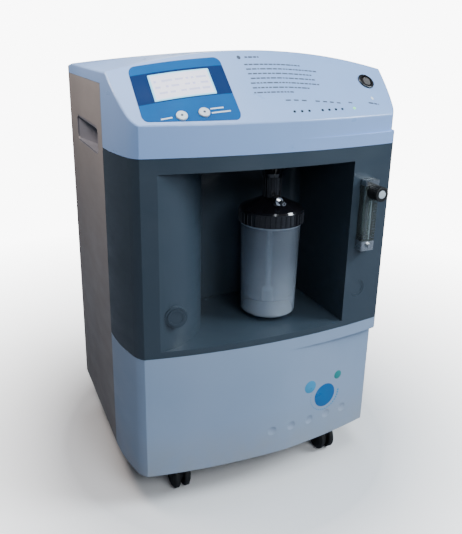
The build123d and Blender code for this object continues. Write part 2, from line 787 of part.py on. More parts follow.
with BuildPart() as humidifier_lid:
    with BuildSketch(bottle_plane):
        Polygon(
            (0, neck_top_z),
            (neck_radius, neck_top_z),
            (neck_radius, neck_base_z - 0.4),
            (13.5, neck_base_z - 0.4),
            (lid_radius - 2, lid_shoulder_z + 1.5),
            (lid_radius, lid_shoulder_z - 1),
            (lid_radius, lid_low_z),
            (jar_top_radius + 0.4, lid_low_z),
            (jar_top_radius + 0.4, jar_top_z + 0.5),
            (jar_top_radius - 5, jar_top_z + 0.5),
            (12, neck_base_z - 6),
            (0, neck_base_z - 6),
            align=None,
        )
    revolve(axis=bottle_axis)
    with BuildSketch(Plane.XY.offset(lid_low_z)):
        with Locations((socket_x, socket_y)):
            with PolarLocations(lid_radius, 40):
                Circle(1.1)
    extrude(amount=lid_shoulder_z - lid_low_z - 3)
    with BuildSketch(Plane.XY.offset(lid_shoulder_z + 4)):
        with Locations((outlet_x, outlet_post_y)):
            Circle(5.5)
    extrude(amount=outlet_z + 5.5 - lid_shoulder_z - 4)
    with BuildSketch(Plane.XZ.offset(-outlet_post_y)):
        with Locations((outlet_x, outlet_z)):
            Circle(5.2)
    extrude(amount=outlet_post_y - outlet_seat_y)
    with BuildSketch(Plane.XZ.offset(-outlet_seat_y)):
        with Locations((outlet_x, outlet_z)):
            Circle(2.6)
    extrude(amount=outlet_seat_y - outlet_post_y, mode=Mode.SUBTRACT)
    with BuildSketch(Plane.XY.offset(outlet_z)):
        with Locations((outlet_x, outlet_post_y)):
            Circle(2.0)
    extrude(amount=-20, mode=Mode.SUBTRACT)
    with Locations((socket_x, socket_y, neck_top_z - 10)):
        Cylinder(2.6, 30, mode=Mode.SUBTRACT)
finish(humidifier_lid.part, "humidifier_lid")

with BuildPart() as oxygen_outlet:
    with BuildSketch(Plane(origin=(outlet_x, outlet_seat_y, outlet_z), x_dir=(1, 0, 0), z_dir=(0, 0, 1))):
        Polygon(
            (1.4, 4),
            (2.5, 4),
            (2.5, 0),
            (5.2, 0),
            (5.2, -outlet_collar),
            (outlet_radius, -outlet_collar),
            (outlet_radius, -outlet_collar - outlet_length),
            (outlet_radius - 0.8, -outlet_collar - outlet_length - 1),
            (1.4, -outlet_collar - outlet_length - 1),
            align=None,
        )
    revolve(axis=Axis((outlet_x, 0, outlet_z), (0, 1, 0)))
finish(oxygen_outlet.part, "oxygen_outlet")

with BuildPart() as humidifier_jar:
    with BuildSketch(bottle_plane):
        Polygon(
            (0, jar_bottom_z + 3),
            (jar_bottom_radius - 9, jar_bottom_z + 3),
            (jar_bottom_radius - 7, jar_bottom_z),
            (jar_bottom_radius - 2, jar_bottom_z),
            (jar_bottom_radius, jar_bottom_z + 2.5),
            (jar_top_radius - 0.4, lid_low_z - 1),
            (jar_top_radius, lid_low_z + 2),
            (jar_top_radius, jar_top_z),
            (jar_top_radius - jar_wall, jar_top_z),
            (jar_top_radius - jar_wall - 0.4, lid_low_z - 1),
            (jar_bottom_radius - jar_wall, jar_bottom_z + 5),
            (jar_bottom_radius - 5, jar_bottom_z + 2.2),
            (jar_bottom_radius - 7, jar_bottom_z + 2.2),
            (jar_bottom_radius - 9, jar_bottom_z + 5),
            (0, jar_bottom_z + 5),
            align=None,
        )
    revolve(axis=bottle_axis)
finish(humidifier_jar.part, "humidifier_jar")

with BuildPart() as diffuser_tube:
    with BuildSketch(bottle_plane):
        Polygon(
            (1.6, 250),
            (8, 250),
            (8, 268),
            (2.9, 271),
            (2.9, neck_base_z - 6),
            (1.6, neck_base_z - 6),
            align=None,
        )
    revolve(axis=bottle_axis)
finish(diffuser_tube.part, "diffuser_tube")

# ---- base, shelf and casters --------------------------------------------------------
caster_x = 116.0
caster_ys = (-118.0, 132.0)
stem_radius = 4.0
stem_length = 20.0
base_inset = wall + 0.4
side_names = {-1: "left", 1: "right"}
end_names = {caster_ys[0]: "front", caster_ys[1]: "rear"}
fan_x = 134.0
fan_y = 20.0

with BuildPart() as base_chassis:
    add(case_prism(base_z, base_z + 4, base_inset, lower_recess))
    add(case_prism(base_z + 4, base_z + 24, base_inset, lower_recess))
    add(case_prism(base_z + 4, base_z + 25, base_inset + 2.5, lower_recess), mode=Mode.SUBTRACT)
    for x in (-caster_x, caster_x):
        for y in caster_ys:
            with BuildSketch(Plane.XY.offset(base_z)):
                with Locations((x, y)):
                    Circle(9)
            extrude(amount=stem_length + 4)
            with Locations((x, y, base_z + (stem_length + 1) / 2 - 0.5)):
                Cylinder(stem_radius + running_gap, stem_length + 2, mode=Mode.SUBTRACT)
    with BuildSketch(Plane.XY.offset(base_z - 1)):
        with Locations((fan_x, fan_y)):
            with GridLocations(0, 12, 1, 6):
                SlotOverall(74, 6)
    extrude(amount=6, mode=Mode.SUBTRACT)
finish(base_chassis.part, "base_chassis")

wheel_radius = 21.0
wheel_width = 10.0
wheel_gap = 3.2             # middle of the caster to a wheel's inner face
trail = 12.0
axle_radius = 3.0


def caster(x, y, label):
    """Twin-wheel caster: a hooded fork on a stem, and two domed wheels on its axle."""
    axle_plane = Plane(origin=(x, y + trail, wheel_radius), x_dir=(0, 1, 0), z_dir=(1, 0, 0))
    with BuildPart() as fork:
        with BuildSketch(Plane.XY.offset(base_z - 0.3)):
            with Locations((x, y)):
                Circle(13)
        extrude(amount=-4)
        with BuildSketch(Plane.XY.offset(base_z - 0.4)):
            with Locations((x, y)):
                Circle(stem_radius)
        extrude(amount=stem_length)
        with BuildSketch(axle_plane.offset(-wheel_gap + 0.5)):
            with BuildLine():
                Polyline(
                    (-trail - 9, base_z - 4 - wheel_radius),
                    (-trail + 9, base_z - 4 - wheel_radius),
                    (14, wheel_radius),
                    (12, -4),
                    (0, -9),
                    (-12, -4),
                    close=True,
                )
            make_face()
        extrude(amount=2 * wheel_gap - 1)
        with BuildSketch(axle_plane.offset(-wheel_gap - wheel_width)):
            Circle(axle_radius)
        extrude(amount=2 * (wheel_gap + wheel_width))
        # hood over the back of the wheels
        with BuildSketch(axle_plane.offset(-wheel_gap - wheel_width + 1)):
            with BuildLine():
                outer = CenterArc((0, 0), wheel_radius + 3.6, 25, 115)
                inner = CenterArc((0, 0), wheel_radius + 1.4, 25, 115)
                Line(outer @ 0, inner @ 0)
                Line(outer @ 1, inner @ 1)
            make_face()
        extrude(amount=2 * (wheel_gap + wheel_width - 1))
    finish(fork.part, f"{label}_caster_fork")
    with BuildPart() as wheels:
        for side in (-1, 1):
            with BuildSketch(Plane(origin=(x, y + trail, wheel_radius), x_dir=(1, 0, 0), z_dir=(0, -1, 0))):
                with BuildLine():
                    Polyline(
                        (side * wheel_gap, axle_radius + running_gap),
                        (side * wheel_gap, wheel_radius - 1.5),
                        (side * (wheel_gap + 1.5), wheel_radius),
                        (side * (wheel_gap + 6.5), wheel_radius),
                        (side * (wheel_gap + 9), wheel_radius - 4),
                        (side * (wheel_gap + wheel_width), wheel_radius - 11),
                        (side * (wheel_gap + wheel_width), axle_radius + running_gap),
                        close=True,
                    )
                make_face()
            revolve(axis=Axis((x, y + trail, wheel_radius), (1, 0, 0)))
    finish(wheels.part, f"{label}_caster_wheels")


for x in (-caster_x, caster_x):
    for y in caster_ys:
        caster(x, y, f"{end_names[y]}_{side_names[int(math.copysign(1, x))]}")

# ---- inner shelf --------------------------------------------------------------------
floor_z = base_z + 4        # inside of the base plate
shelf_z = 214.0
shelf_thickness = 3.0
shelf_top_z = shelf_z + shelf_thickness
hose_hole = (172.0, 75.0)

with BuildPart() as inner_shelf:
    add(case_prism(shelf_z, shelf_top_z, base_inset + 3, lower_recess))
    with BuildSketch(Plane.XY.offset(floor_z)):
        with Locations((-168, -40), (168, -40), (-168, 150), (168, 150)):
            Circle(6)
    extrude(amount=shelf_z - floor_z)
    with BuildSketch(Plane.XY.offset(shelf_z - 1)):
        with Locations(hose_hole):
            Circle(8)
        with Locations((-20, -70)):
            SlotOverall(180, 40)
    extrude(amount=shelf_thickness + 2, mode=Mode.SUBTRACT)
finish(inner_shelf.part, "inner_shelf")

# ---- compressor ---------------------------------------------------------------------
shaft_y = 20.0
shaft_z = 118.0
shaft_radius = 8.0
motor_radius = 42.0
mount_plate_z = 72.0
crankcase_inner_x = 42.0
crankcase_outer_x = 84.0
crankcase_half = 42.0
cylinder_x = 63.0
crankcase_top_z = 160.0
piston_radius = 19.95
cylinder_bore = 20.0
throw = 5.0
eccentric_radius = 11.0
rotor_half_length = 34.0
piston_low_z = 168.0
piston_height = 8.0
big_end_radius = 25.0
big_end_bore = 22.0
rod_width = 12.0
shaft_plane = Plane(origin=(0, shaft_y, shaft_z), x_dir=(0, 1, 0), z_dir=(1, 0, 0))

with BuildPart() as compressor_housing:
    with BuildSketch(shaft_plane.offset(-crankcase_inner_x)):
        Circle(motor_radius)
    extrude(amount=2 * crankcase_inner_x)
    for side in (-1, 1):
        with BuildSketch(shaft_plane.offset(side * crankcase_inner_x)):
            RectangleRounded(2 * crankcase_half, 2 * crankcase_half, 10)
        extrude(amount=side * (crankcase_outer_x - crankcase_inner_x))
    with BuildSketch(Plane.XY.offset(mount_plate_z)):
        with Locations((0, shaft_y)):
            Rectangle(2 * crankcase_outer_x, 104)
    extrude(amount=5)
    # stator bore and crank chambers
    with BuildSketch(shaft_plane.offset(-crankcase_inner_x + 4)):
        Circle(motor_radius - 5)
    extrude(amount=2 * crankcase_inner_x - 8, mode=Mode.SUBTRACT)
    for side in (-1, 1):
        with BuildSketch(shaft_plane.offset(side * (crankcase_inner_x + 4))):
            RectangleRounded(2 * crankcase_half - 14, 2 * crankcase_half - 14, 8)
        extrude(amount=side * (crankcase_outer_x - crankcase_inner_x - 8), mode=Mode.SUBTRACT)
        with Locations((side * cylinder_x, shaft_y, crankcase_top_z - 4)):
            Cylinder(cylinder_bore + 1, 14, mode=Mode.SUBTRACT)
    with BuildSketch(shaft_plane.offset(-crankcase_outer_x - 1)):
        Circle(shaft_radius + running_gap)
    extrude(amount=2 * crankcase_outer_x + 2, mode=Mode.SUBTRACT)
finish(compressor_housing.part, "compressor_housing")

with BuildPart() as compressor_cylinders:
    for side in (-1, 1):
        with Locations((side * cylinder_x, shaft_y, crankcase_top_z)):
            Cylinder(25, 26, align=(Align.CENTER, Align.CENTER, Align.MIN))
        for fin in range(4):
            with Locations((side * cylinder_x, shaft_y, crankcase_top_z + 4 + 5.5 * fin)):
                Cylinder(30, 2, align=(Align.CENTER, Align.CENTER, Align.MIN))
        with Locations((side * cylinder_x, shaft_y, crankcase_top_z + 26)):
            Box(54, 54, 12, align=(Align.CENTER, Align.CENTER, Align.MIN))
        with Locations((side * cylinder_x, shaft_y, crankcase_top_z - 1)):
            Cylinder(
                cylinder_bore, 27, align=(Align.CENTER, Align.CENTER, Align.MIN), mode=Mode.SUBTRACT
            )
finish(compressor_cylinders.part, "compressor_cylinders")

with BuildPart() as crank_shaft:
    with BuildSketch(shaft_plane.offset(-crankcase_outer_x - 2)):
        Circle(shaft_radius)
    extrude(amount=2 * crankcase_outer_x + 4)
    with BuildSketch(shaft_plane.offset(-rotor_half_length)):
        Circle(motor_radius - 7)
    extrude(amount=2 * rotor_half_length)
    for side in (-1, 1):
        with BuildSketch(shaft_plane.offset(side * (cylinder_x - 5))):
            with Locations((side * throw, 0)):
                Circle(eccentric_radius)
        extrude(amount=side * 10)
finish(crank_shaft.part, "crank_shaft")


def piston(side, name):
    """Piston and rod in one piece, with a big end wide enough for the crank to turn in."""
    with BuildPart() as rod:
        with Locations((side * cylinder_x, shaft_y, piston_low_z)):
            Cylinder(piston_radius, piston_height, align=(Align.CENTER, Align.CENTER, Align.MIN))
        with BuildSketch(shaft_plane.offset(side * cylinder_x - rod_width / 3)):
            Circle(big_end_radius)
            with Locations((0, (piston_low_z + 5 - shaft_z) / 2)):
                Rectangle(rod_width, piston_low_z + 5 - shaft_z)
            Circle(big_end_bore, mode=Mode.SUBTRACT)
        extrude(amount=2 * rod_width / 3)
    finish(rod.part, name)


piston(-1, "left_piston")
piston(1, "right_piston")

mount_points = [(x, y) for x in (-70, 70) for y in (shaft_y - 42, shaft_y + 42)]
mount_height = mount_plate_z - floor_z
with BuildPart() as compressor_mounts:
    for x, y in mount_points:
        with Locations((x, y, floor_z)):
            Cylinder(6.5, mount_height, align=(Align.CENTER, Align.CENTER, Align.MIN))
        for rim_z in (floor_z, mount_plate_z - 5):
            with Locations((x, y, rim_z)):
                Cylinder(10, 5, align=(Align.CENTER, Align.CENTER, Align.MIN))
finish(compressor_mounts.part, "compressor_mounts")

# ---- cooling fan and heat exchanger -------------------------------------------------
fan_size = 92.0
fan_depth = 25.0
fan_bore = 43.0
hub_radius = 18.0
blade_count = 7

with BuildPart() as fan_frame:
    with BuildSketch(Plane.XY.offset(floor_z)):
        with Locations((fan_x, fan_y)):
            RectangleRounded(fan_size, fan_size, 6)
            Circle(fan_bore, mode=Mode.SUBTRACT)
            with GridLocations(82.5, 82.5, 2, 2):
                Circle(2.2, mode=Mode.SUBTRACT)
    extrude(amount=fan_depth)
    with BuildSketch(Plane.XY.offset(floor_z)):
        with Locations((fan_x, fan_y)):
            Circle(hub_radius - 1)
            Rectangle(2 * fan_bore + 2, 5)
            Rectangle(5, 2 * fan_bore + 2)
    extrude(amount=3)
finish(fan_frame.part, "fan_frame")

with BuildPart() as fan_impeller:
    with BuildSketch(Plane.XY.offset(floor_z + 4)):
        with Locations((fan_x, fan_y)):
            Circle(hub_radius)
    extrude(amount=19)
    with Locations((fan_x, fan_y, floor_z + 14)):
        with PolarLocations(29, blade_count):
            Box(24, 2, 20, rotation=(45, 0, 0))
finish(fan_impeller.part, "fan_impeller")

pipe_radius = 4.0
exchanger_z = 100.0
pass_ys = [-15.0 + 18.0 * index for index in range(5)]
exchanger_ends = (97.0, 172.0)


def tube(points, radii, outer, name):
    """Solid round rod along straight runs joined by arcs, standing for a pipe or hose."""
    with BuildPart() as pipe:
        with BuildLine() as path:
            FilletPolyline(*points, radius=radii)
        route = path.wires()[0]
        with BuildSketch(Plane(origin=route @ 0, z_dir=route % 0)):
            Circle(outer)
        sweep(path=route)
    expected = math.pi * outer**2 * route.length
    print(name, "volume over section times length", round(pipe.part.volume / expected, 4))
    finish(pipe.part, name)


exchanger_points = [(exchanger_ends[0], pass_ys[0], exchanger_z)]
for index, y in enumerate(pass_ys):
    exchanger_points.append((exchanger_ends[(index + 1) % 2], y, exchanger_z))
    if index < len(pass_ys) - 1:
        exchanger_points.append((exchanger_ends[(index + 1) % 2], pass_ys[index + 1], exchanger_z))
exchanger_points.append((exchanger_ends[1], hose_hole[1], exchanger_z))
exchanger_points.append((exchanger_ends[1], hose_hole[1], exchanger_z + 40))
tube(exchanger_points, 8.5, pipe_radius, "heat_exchanger")

# ---- oxygen separation --------------------------------------------------------------
bed_radius = 34.0
bed_cap_radius = 37.0
bed_y = 95.0
bed_top_z = 478.0
tank_x = 95.0
tank_y = 105.0
tank_radius = 38.0
tank_top_z = 440.0


def canister(x, y, radius, cap_radius, top_z, name):
    """Closed pressure canister standing on the shelf, with an end cap at each end."""
    with BuildPart() as vessel:
        with Locations((x, y, shelf_top_z)):
            Cylinder(cap_radius, 14, align=(Align.CENTER, Align.CENTER, Align.MIN))
            Cylinder(radius, top_z - shelf_top_z, align=(Align.CENTER, Align.CENTER, Align.MIN))
        with Locations((x, y, top_z - 14)):
            Cylinder(cap_radius, 14, align=(Align.CENTER, Align.CENTER, Align.MIN))
        fillet(vessel.edges().group_by(Axis.Z)[-1], 3)
    finish(vessel.part, name)


canister(-116, bed_y, bed_radius, bed_cap_radius, bed_top_z, "left_sieve_bed")
canister(-36, bed_y, bed_radius, bed_cap_radius, bed_top_z, "right_sieve_bed")
canister(tank_x, tank_y, tank_radius - 2, tank_radius, tank_top_z, "product_tank")

manifold_y = 30.0
manifold_low_x = -108.0
manifold_high_x = -4.0
manifold_top_z = shelf_top_z + 30
with BuildPart() as valve_manifold:
    with BuildSketch(Plane.XY.offset(shelf_top_z)):
        with Locations(((manifold_low_x + manifold_high_x) / 2, manifold_y)):
            Rectangle(manifold_high_x - manifold_low_x, 38)
    extrude(amount=manifold_top_z - shelf_top_z)
    for x in (-94, -69, -44, -19):
        with BuildSketch(Plane.XY.offset(manifold_top_z)):
            with Locations((x, manifold_y)):
                Circle(10.5)
        extrude(amount=32)
        with BuildSketch(Plane.XY.offset(manifold_top_z + 32)):
            with Locations((x, manifold_y)):
                Circle(4)
        extrude(amount=6)
finish(valve_manifold.part, "valve_manifold")

supply_z = 234.0
supply_points = [
    (exchanger_ends[1], hose_hole[1], exchanger_z + 40.2),
    (exchanger_ends[1], hose_hole[1], supply_z),
    (exchanger_ends[1], manifold_y, supply_z),
    (manifold_high_x + 0.2, manifold_y, supply_z),
]
tube(supply_points, 18, 5.0, "supply_hose")

oxygen_top_z = 505.0
oxygen_points = [
    (tank_x, tank_y, tank_top_z + 0.2),
    (tank_x, tank_y, oxygen_top_z),
    (socket_x, socket_y + 70, oxygen_top_z),
    (socket_x, socket_y, oxygen_top_z),
    (socket_x, socket_y, niche_ceiling_z + 14.2),
]
tube(oxygen_points, 14, 4.0, "oxygen_hose")

muffler_x = -140.0
muffler_y = 105.0
with BuildPart() as intake_muffler:
    with Locations((muffler_x, muffler_y, floor_z)):
        Cylinder(25, 110, align=(Align.CENTER, Align.CENTER, Align.MIN))
        fillet(intake_muffler.edges(), 5)
        Cylinder(6, 128, align=(Align.CENTER, Align.CENTER, Align.MIN))
finish(intake_muffler.part, "intake_muffler")

# ---- control board ------------------------------------------------------------------
board_x = 103.0
board_y = -58.0
board_z = 468.0
with BuildPart() as control_board:
    with BuildSketch(Plane.XY.offset(board_z)):
        with Locations((board_x, board_y)):
            Rectangle(104, 70)
    extrude(amount=1.6)
    with BuildSketch(Plane.XY.offset(niche_ceiling_z + wall)):
        with Locations((70, -84), (70, -32)):
            Circle(3)
    extrude(amount=board_z - niche_ceiling_z - wall)
    with Locations((board_x - 30, board_y + 12, board_z + 1.6)):
        Box(24, 30, 14, align=(Align.CENTER, Align.CENTER, Align.MIN))
    with Locations((board_x + 10, board_y + 18, board_z + 1.6)):
        with GridLocations(16, 0, 3, 1):
            Cylinder(6, 18, align=(Align.CENTER, Align.CENTER, Align.MIN))
    with Locations((board_x + 10, board_y - 14, board_z + 1.6)):
        Box(34, 16, 3, align=(Align.CENTER, Align.CENTER, Align.MIN))
finish(control_board.part, "control_board")
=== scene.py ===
import math
import random

import bmesh
import bpy
from mathutils import Matrix, Vector


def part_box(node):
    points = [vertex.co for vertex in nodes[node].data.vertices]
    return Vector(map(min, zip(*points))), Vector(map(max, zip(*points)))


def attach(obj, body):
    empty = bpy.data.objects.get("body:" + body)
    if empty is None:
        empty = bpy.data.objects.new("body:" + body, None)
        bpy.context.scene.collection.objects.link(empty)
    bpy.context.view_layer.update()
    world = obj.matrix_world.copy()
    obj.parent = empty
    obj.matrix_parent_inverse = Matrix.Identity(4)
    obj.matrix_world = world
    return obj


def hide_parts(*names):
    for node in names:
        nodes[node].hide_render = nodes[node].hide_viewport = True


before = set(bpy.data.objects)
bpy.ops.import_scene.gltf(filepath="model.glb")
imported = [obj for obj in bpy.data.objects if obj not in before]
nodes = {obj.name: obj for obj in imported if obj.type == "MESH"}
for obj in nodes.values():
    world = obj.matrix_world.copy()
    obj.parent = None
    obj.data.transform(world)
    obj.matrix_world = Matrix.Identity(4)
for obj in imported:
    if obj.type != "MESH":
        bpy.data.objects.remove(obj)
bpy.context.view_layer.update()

# Looks of the oxygen concentrator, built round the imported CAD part. Metres, front towards -Y.
MM = 0.001

# ---- shape of the case, in millimetres, as the CAD has it ----------------------------
HALF_CHORD = 169.5
BOW = 16.0
FRONT_Y = -139.0
CREASE_X = 25.0
UPPER_RECESS = 4.2
LOWER_RECESS = 8.0
PANEL_LOW_Z = 509.5
PANEL_SLOPE = 0.866
BOW_RADIUS = (HALF_CHORD**2 + BOW**2) / (2 * BOW)
BOW_CENTRE_Y = FRONT_Y - BOW + BOW_RADIUS


def front_y(x, recess=0.0):
    """Y of the bowed front at x, turned back to the right of the crease by recess at the corner."""
    if x <= CREASE_X or recess == 0.0:
        return BOW_CENTRE_Y - math.sqrt(BOW_RADIUS**2 - x**2)
    turn = math.atan(recess / (HALF_CHORD - CREASE_X))
    pivot_y = front_y(CREASE_X)
    arm_y = BOW_CENTRE_Y - pivot_y
    centre_x = CREASE_X - CREASE_X * math.cos(turn) - arm_y * math.sin(turn)
    centre_y = pivot_y - CREASE_X * math.sin(turn) + arm_y * math.cos(turn)
    return centre_y - math.sqrt(BOW_RADIUS**2 - (x - centre_x) ** 2)


def on_panel(x, y, lift=0.0):
    """Point on the sloped control panel, raised along its slope's normal."""
    run = math.sqrt(1 + PANEL_SLOPE**2)
    z = PANEL_LOW_Z + PANEL_SLOPE * (y - front_y(x, UPPER_RECESS))
    return Vector((x, y - lift * PANEL_SLOPE / run, z + lift / run)) * MM


def on_lower_front(x, z, lift=0.0):
    """Point on the lower cover's front, below its crease."""
    return Vector((x, front_y(x, LOWER_RECESS) - lift, z)) * MM


# ---- node helpers --------------------------------------------------------------------
FINE_BUMP = 0.0002          # metres, the height of moulding and metal grain
FILM_BUMP = 0.0001          # metres, the height of grain in films and windows


def new_material(name):
    """A material with its tree, its shader and the object's own coordinates."""
    material = bpy.data.materials.new(name)
    material.use_nodes = True
    tree = material.node_tree
    shader = tree.nodes["Principled BSDF"]
    coordinates = tree.nodes.new("ShaderNodeTexCoord")
    return material, tree, shader, coordinates.outputs["Object"]


def noise(tree, vector, scale, detail=4.0, stretch=None):
    """Noise between 0 and 1 at a scale, stretched along an axis for drawn or brushed metal."""
    if stretch is not None:
        mapping = tree.nodes.new("ShaderNodeMapping")
        mapping.inputs["Scale"].default_value = stretch
        tree.links.new(vector, mapping.inputs["Vector"])
        vector = mapping.outputs["Vector"]
    node = tree.nodes.new("ShaderNodeTexNoise")
    node.inputs["Scale"].default_value = scale
    node.inputs["Detail"].default_value = detail
    tree.links.new(vector, node.inputs["Vector"])
    return node.outputs["Fac"]


def spread(tree, value, low, high, source_low=0.3, source_high=0.7):
    """The value taken from one range to another."""
    node = tree.nodes.new("ShaderNodeMapRange")
    node.inputs["From Min"].default_value = source_low
    node.inputs["From Max"].default_value = source_high
    node.inputs["To Min"].default_value = low
    node.inputs["To Max"].default_value = high
    tree.links.new(value, node.inputs["Value"])
    return node.outputs["Result"]


def blend_colours(tree, factor, first, second):
    """Mixes two colours, each a tuple or a socket."""
    node = tree.nodes.new("ShaderNodeMix")
    node.data_type = "RGBA"
    tree.links.new(factor, node.inputs[0])
    for socket, colour in ((node.inputs[6], first), (node.inputs[7], second)):
        if isinstance(colour, tuple):
            socket.default_value = (*colour, 1.0)
        else:
            tree.links.new(colour, socket)
    return node.outputs[2]


def calculate(tree, operation, first, second=0.0):
    """One math node."""
    node = tree.nodes.new("ShaderNodeMath")
    node.operation = operation
    for socket, value in zip(node.inputs, (first, second)):
        if isinstance(value, (int, float)):
            socket.default_value = value
        else:
            tree.links.new(value, socket)
    return node.outputs[0]


def split_axes(tree, vector):
    """X, Y and Z of the object's own coordinates, in metres."""
    node = tree.nodes.new("ShaderNodeSeparateXYZ")
    tree.links.new(vector, node.inputs[0])
    return node.outputs[0], node.outputs[1], node.outputs[2]


def between(tree, value, low, high, soft=0.0004):
    """1 where the value lies between low and high, else 0, with a soft edge."""
    rise = spread(tree, value, 0.0, 1.0, low - soft, low + soft)
    fall = spread(tree, value, 1.0, 0.0, high - soft, high + soft)
    return calculate(tree, "MULTIPLY", rise, fall)


def add_bump(tree, shader, height, strength, distance):
    """Bump from a height value."""
    node = tree.nodes.new("ShaderNodeBump")
    node.inputs["Strength"].default_value = strength
    node.inputs["Distance"].default_value = distance
    tree.links.new(height, node.inputs["Height"])
    tree.links.new(node.outputs["Normal"], shader.inputs["Normal"])


def plastic(name, dark, light, rough, grain=900.0, depth=0.12, coat=0.0, smear=0.12, dust_and_shade=None):
    """Moulded plastic: uneven colour, handling smears in the gloss, moulding texture, and a tone blended in
    low down, which is dust on some parts and painted shade on the side panels.
    """
    material, tree, shader, place = new_material(name)
    cloud = spread(tree, noise(tree, place, 7.0, 5.0), 0.0, 1.0)
    colour = blend_colours(tree, cloud, dark, light)
    if dust_and_shade is not None:
        # Blended in towards the floor: dust on the covers, painted shade on the side panels.
        dust_and_shade_colour, dust_and_shade_top = dust_and_shade
        height = split_axes(tree, place)[2]
        low_down = spread(tree, height, 0.55, 0.0, 0.05, dust_and_shade_top)
        patchy = calculate(tree, "MULTIPLY", low_down, spread(tree, noise(tree, place, 28.0, 6.0), 0.4, 1.0))
        colour = blend_colours(tree, patchy, colour, dust_and_shade_colour)
    tree.links.new(colour, shader.inputs["Base Color"])
    smears = spread(tree, noise(tree, place, 16.0, 7.0, (1.0, 1.0, 2.4)), rough - smear / 2, rough + smear)
    tree.links.new(smears, shader.inputs["Roughness"])
    shader.inputs["Coat Weight"].default_value = coat
    shader.inputs["Coat Roughness"].default_value = 0.12
    add_bump(tree, shader, noise(tree, place, grain, 3.0), depth, FINE_BUMP)
    return material


def metal(name, dark, light, rough, stretch=(1.0, 1.0, 1.0), grain=500.0, depth=0.1, metallic=1.0):
    """Metal with a drawn, cast or ground surface, by how the grain is stretched."""
    material, tree, shader, place = new_material(name)
    grain_value = noise(tree, place, grain, 4.0, stretch)
    colour = blend_colours(tree, spread(tree, grain_value, 0.0, 1.0), dark, light)
    tree.links.new(colour, shader.inputs["Base Color"])
    stains = noise(tree, place, 40.0, 6.0)
    tree.links.new(spread(tree, stains, rough - 0.06, rough + 0.14), shader.inputs["Roughness"])
    shader.inputs["Metallic"].default_value = metallic
    add_bump(tree, shader, grain_value, depth, FINE_BUMP)
    return material


def clear(name, dark, light, rough, transmission, ior=1.49, ripple=60.0):
    """Clear or frosted moulded plastic with flow ripples and an uneven haze."""
    material, tree, shader, place = new_material(name)
    colour = blend_colours(tree, spread(tree, noise(tree, place, 24.0, 4.0), 0.0, 1.0), dark, light)
    tree.links.new(colour, shader.inputs["Base Color"])
    haze = noise(tree, place, 22.0, 3.0)
    tree.links.new(spread(tree, haze, rough - 0.03, rough + 0.05), shader.inputs["Roughness"])
    shader.inputs["Transmission Weight"].default_value = transmission
    shader.inputs["IOR"].default_value = ior
    add_bump(tree, shader, noise(tree, place, ripple, 1.0), 0.04, 0.0006)
    return material


# ---- materials of the casing ---------------------------------------------------------
PALE_DUST = (0.36, 0.35, 0.33)
# Painted shade: darkening blended into the side panels towards the floor.
PAINTED_LOW_SHADE = (0.14, 0.14, 0.15)
cover_white = plastic("cover_white", (0.26, 0.42, 0.75), (0.30, 0.46, 0.80), 0.33, coat=0.2)
lower_white = plastic(
    "lower_white", (0.27, 0.37, 0.53), (0.31, 0.41, 0.57), 0.36, coat=0.15, dust_and_shade=(PALE_DUST, 0.12)
)
# The side panels are darker than the covers' white as painted shade for the side turned from the lights, and
# darker still low down.
shaded_side_white = plastic(
    "shaded_side_white", (0.26, 0.24, 0.235), (0.31, 0.285, 0.275), 0.42, coat=0.1, dust_and_shade=(PAINTED_LOW_SHADE, 0.46)
)
rear_white = plastic("rear_white", (0.40, 0.47, 0.57), (0.45, 0.52, 0.62), 0.45, dust_and_shade=(PALE_DUST, 0.2))
slate = plastic("slate", (0.030, 0.046, 0.064), (0.040, 0.058, 0.078), 0.36, depth=0.18, coat=0.12)
handle_slate = plastic("handle_slate", (0.16, 0.16, 0.19), (0.22, 0.22, 0.25), 0.40)
switch_black = plastic("switch_black", (0.006, 0.006, 0.008), (0.016, 0.016, 0.018), 0.22, coat=0.5)
# The rocker is dark plastic. Its lighter brown-grey tone is a painted sheen.
rocker_sheen_brown = plastic("rocker_sheen_brown", (0.030, 0.024, 0.022), (0.060, 0.050, 0.046), 0.30, coat=0.4)
button_silver = plastic("button_silver", (0.52, 0.60, 0.66), (0.66, 0.73, 0.78), 0.28, coat=0.4)
matt_black = plastic("matt_black", (0.006, 0.006, 0.007), (0.014, 0.014, 0.015), 0.5, 600.0, 0.3)
gloss_black = plastic("gloss_black", (0.004, 0.004, 0.006), (0.012, 0.012, 0.015), 0.10, 900.0, 0.04, 0.8)
breaker_white = plastic("breaker_white", (0.62, 0.61, 0.58), (0.70, 0.69, 0.66), 0.35)
diffuser_white = plastic("diffuser_white", (0.55, 0.60, 0.62), (0.66, 0.70, 0.71), 0.5, 1500.0, 0.4)
board_green = plastic("board_green", (0.01, 0.06, 0.025), (0.02, 0.10, 0.04), 0.35, grain=300.0, depth=0.3)
screen_back = plastic("screen_back", (0.30, 0.31, 0.33), (0.38, 0.39, 0.41), 0.5)

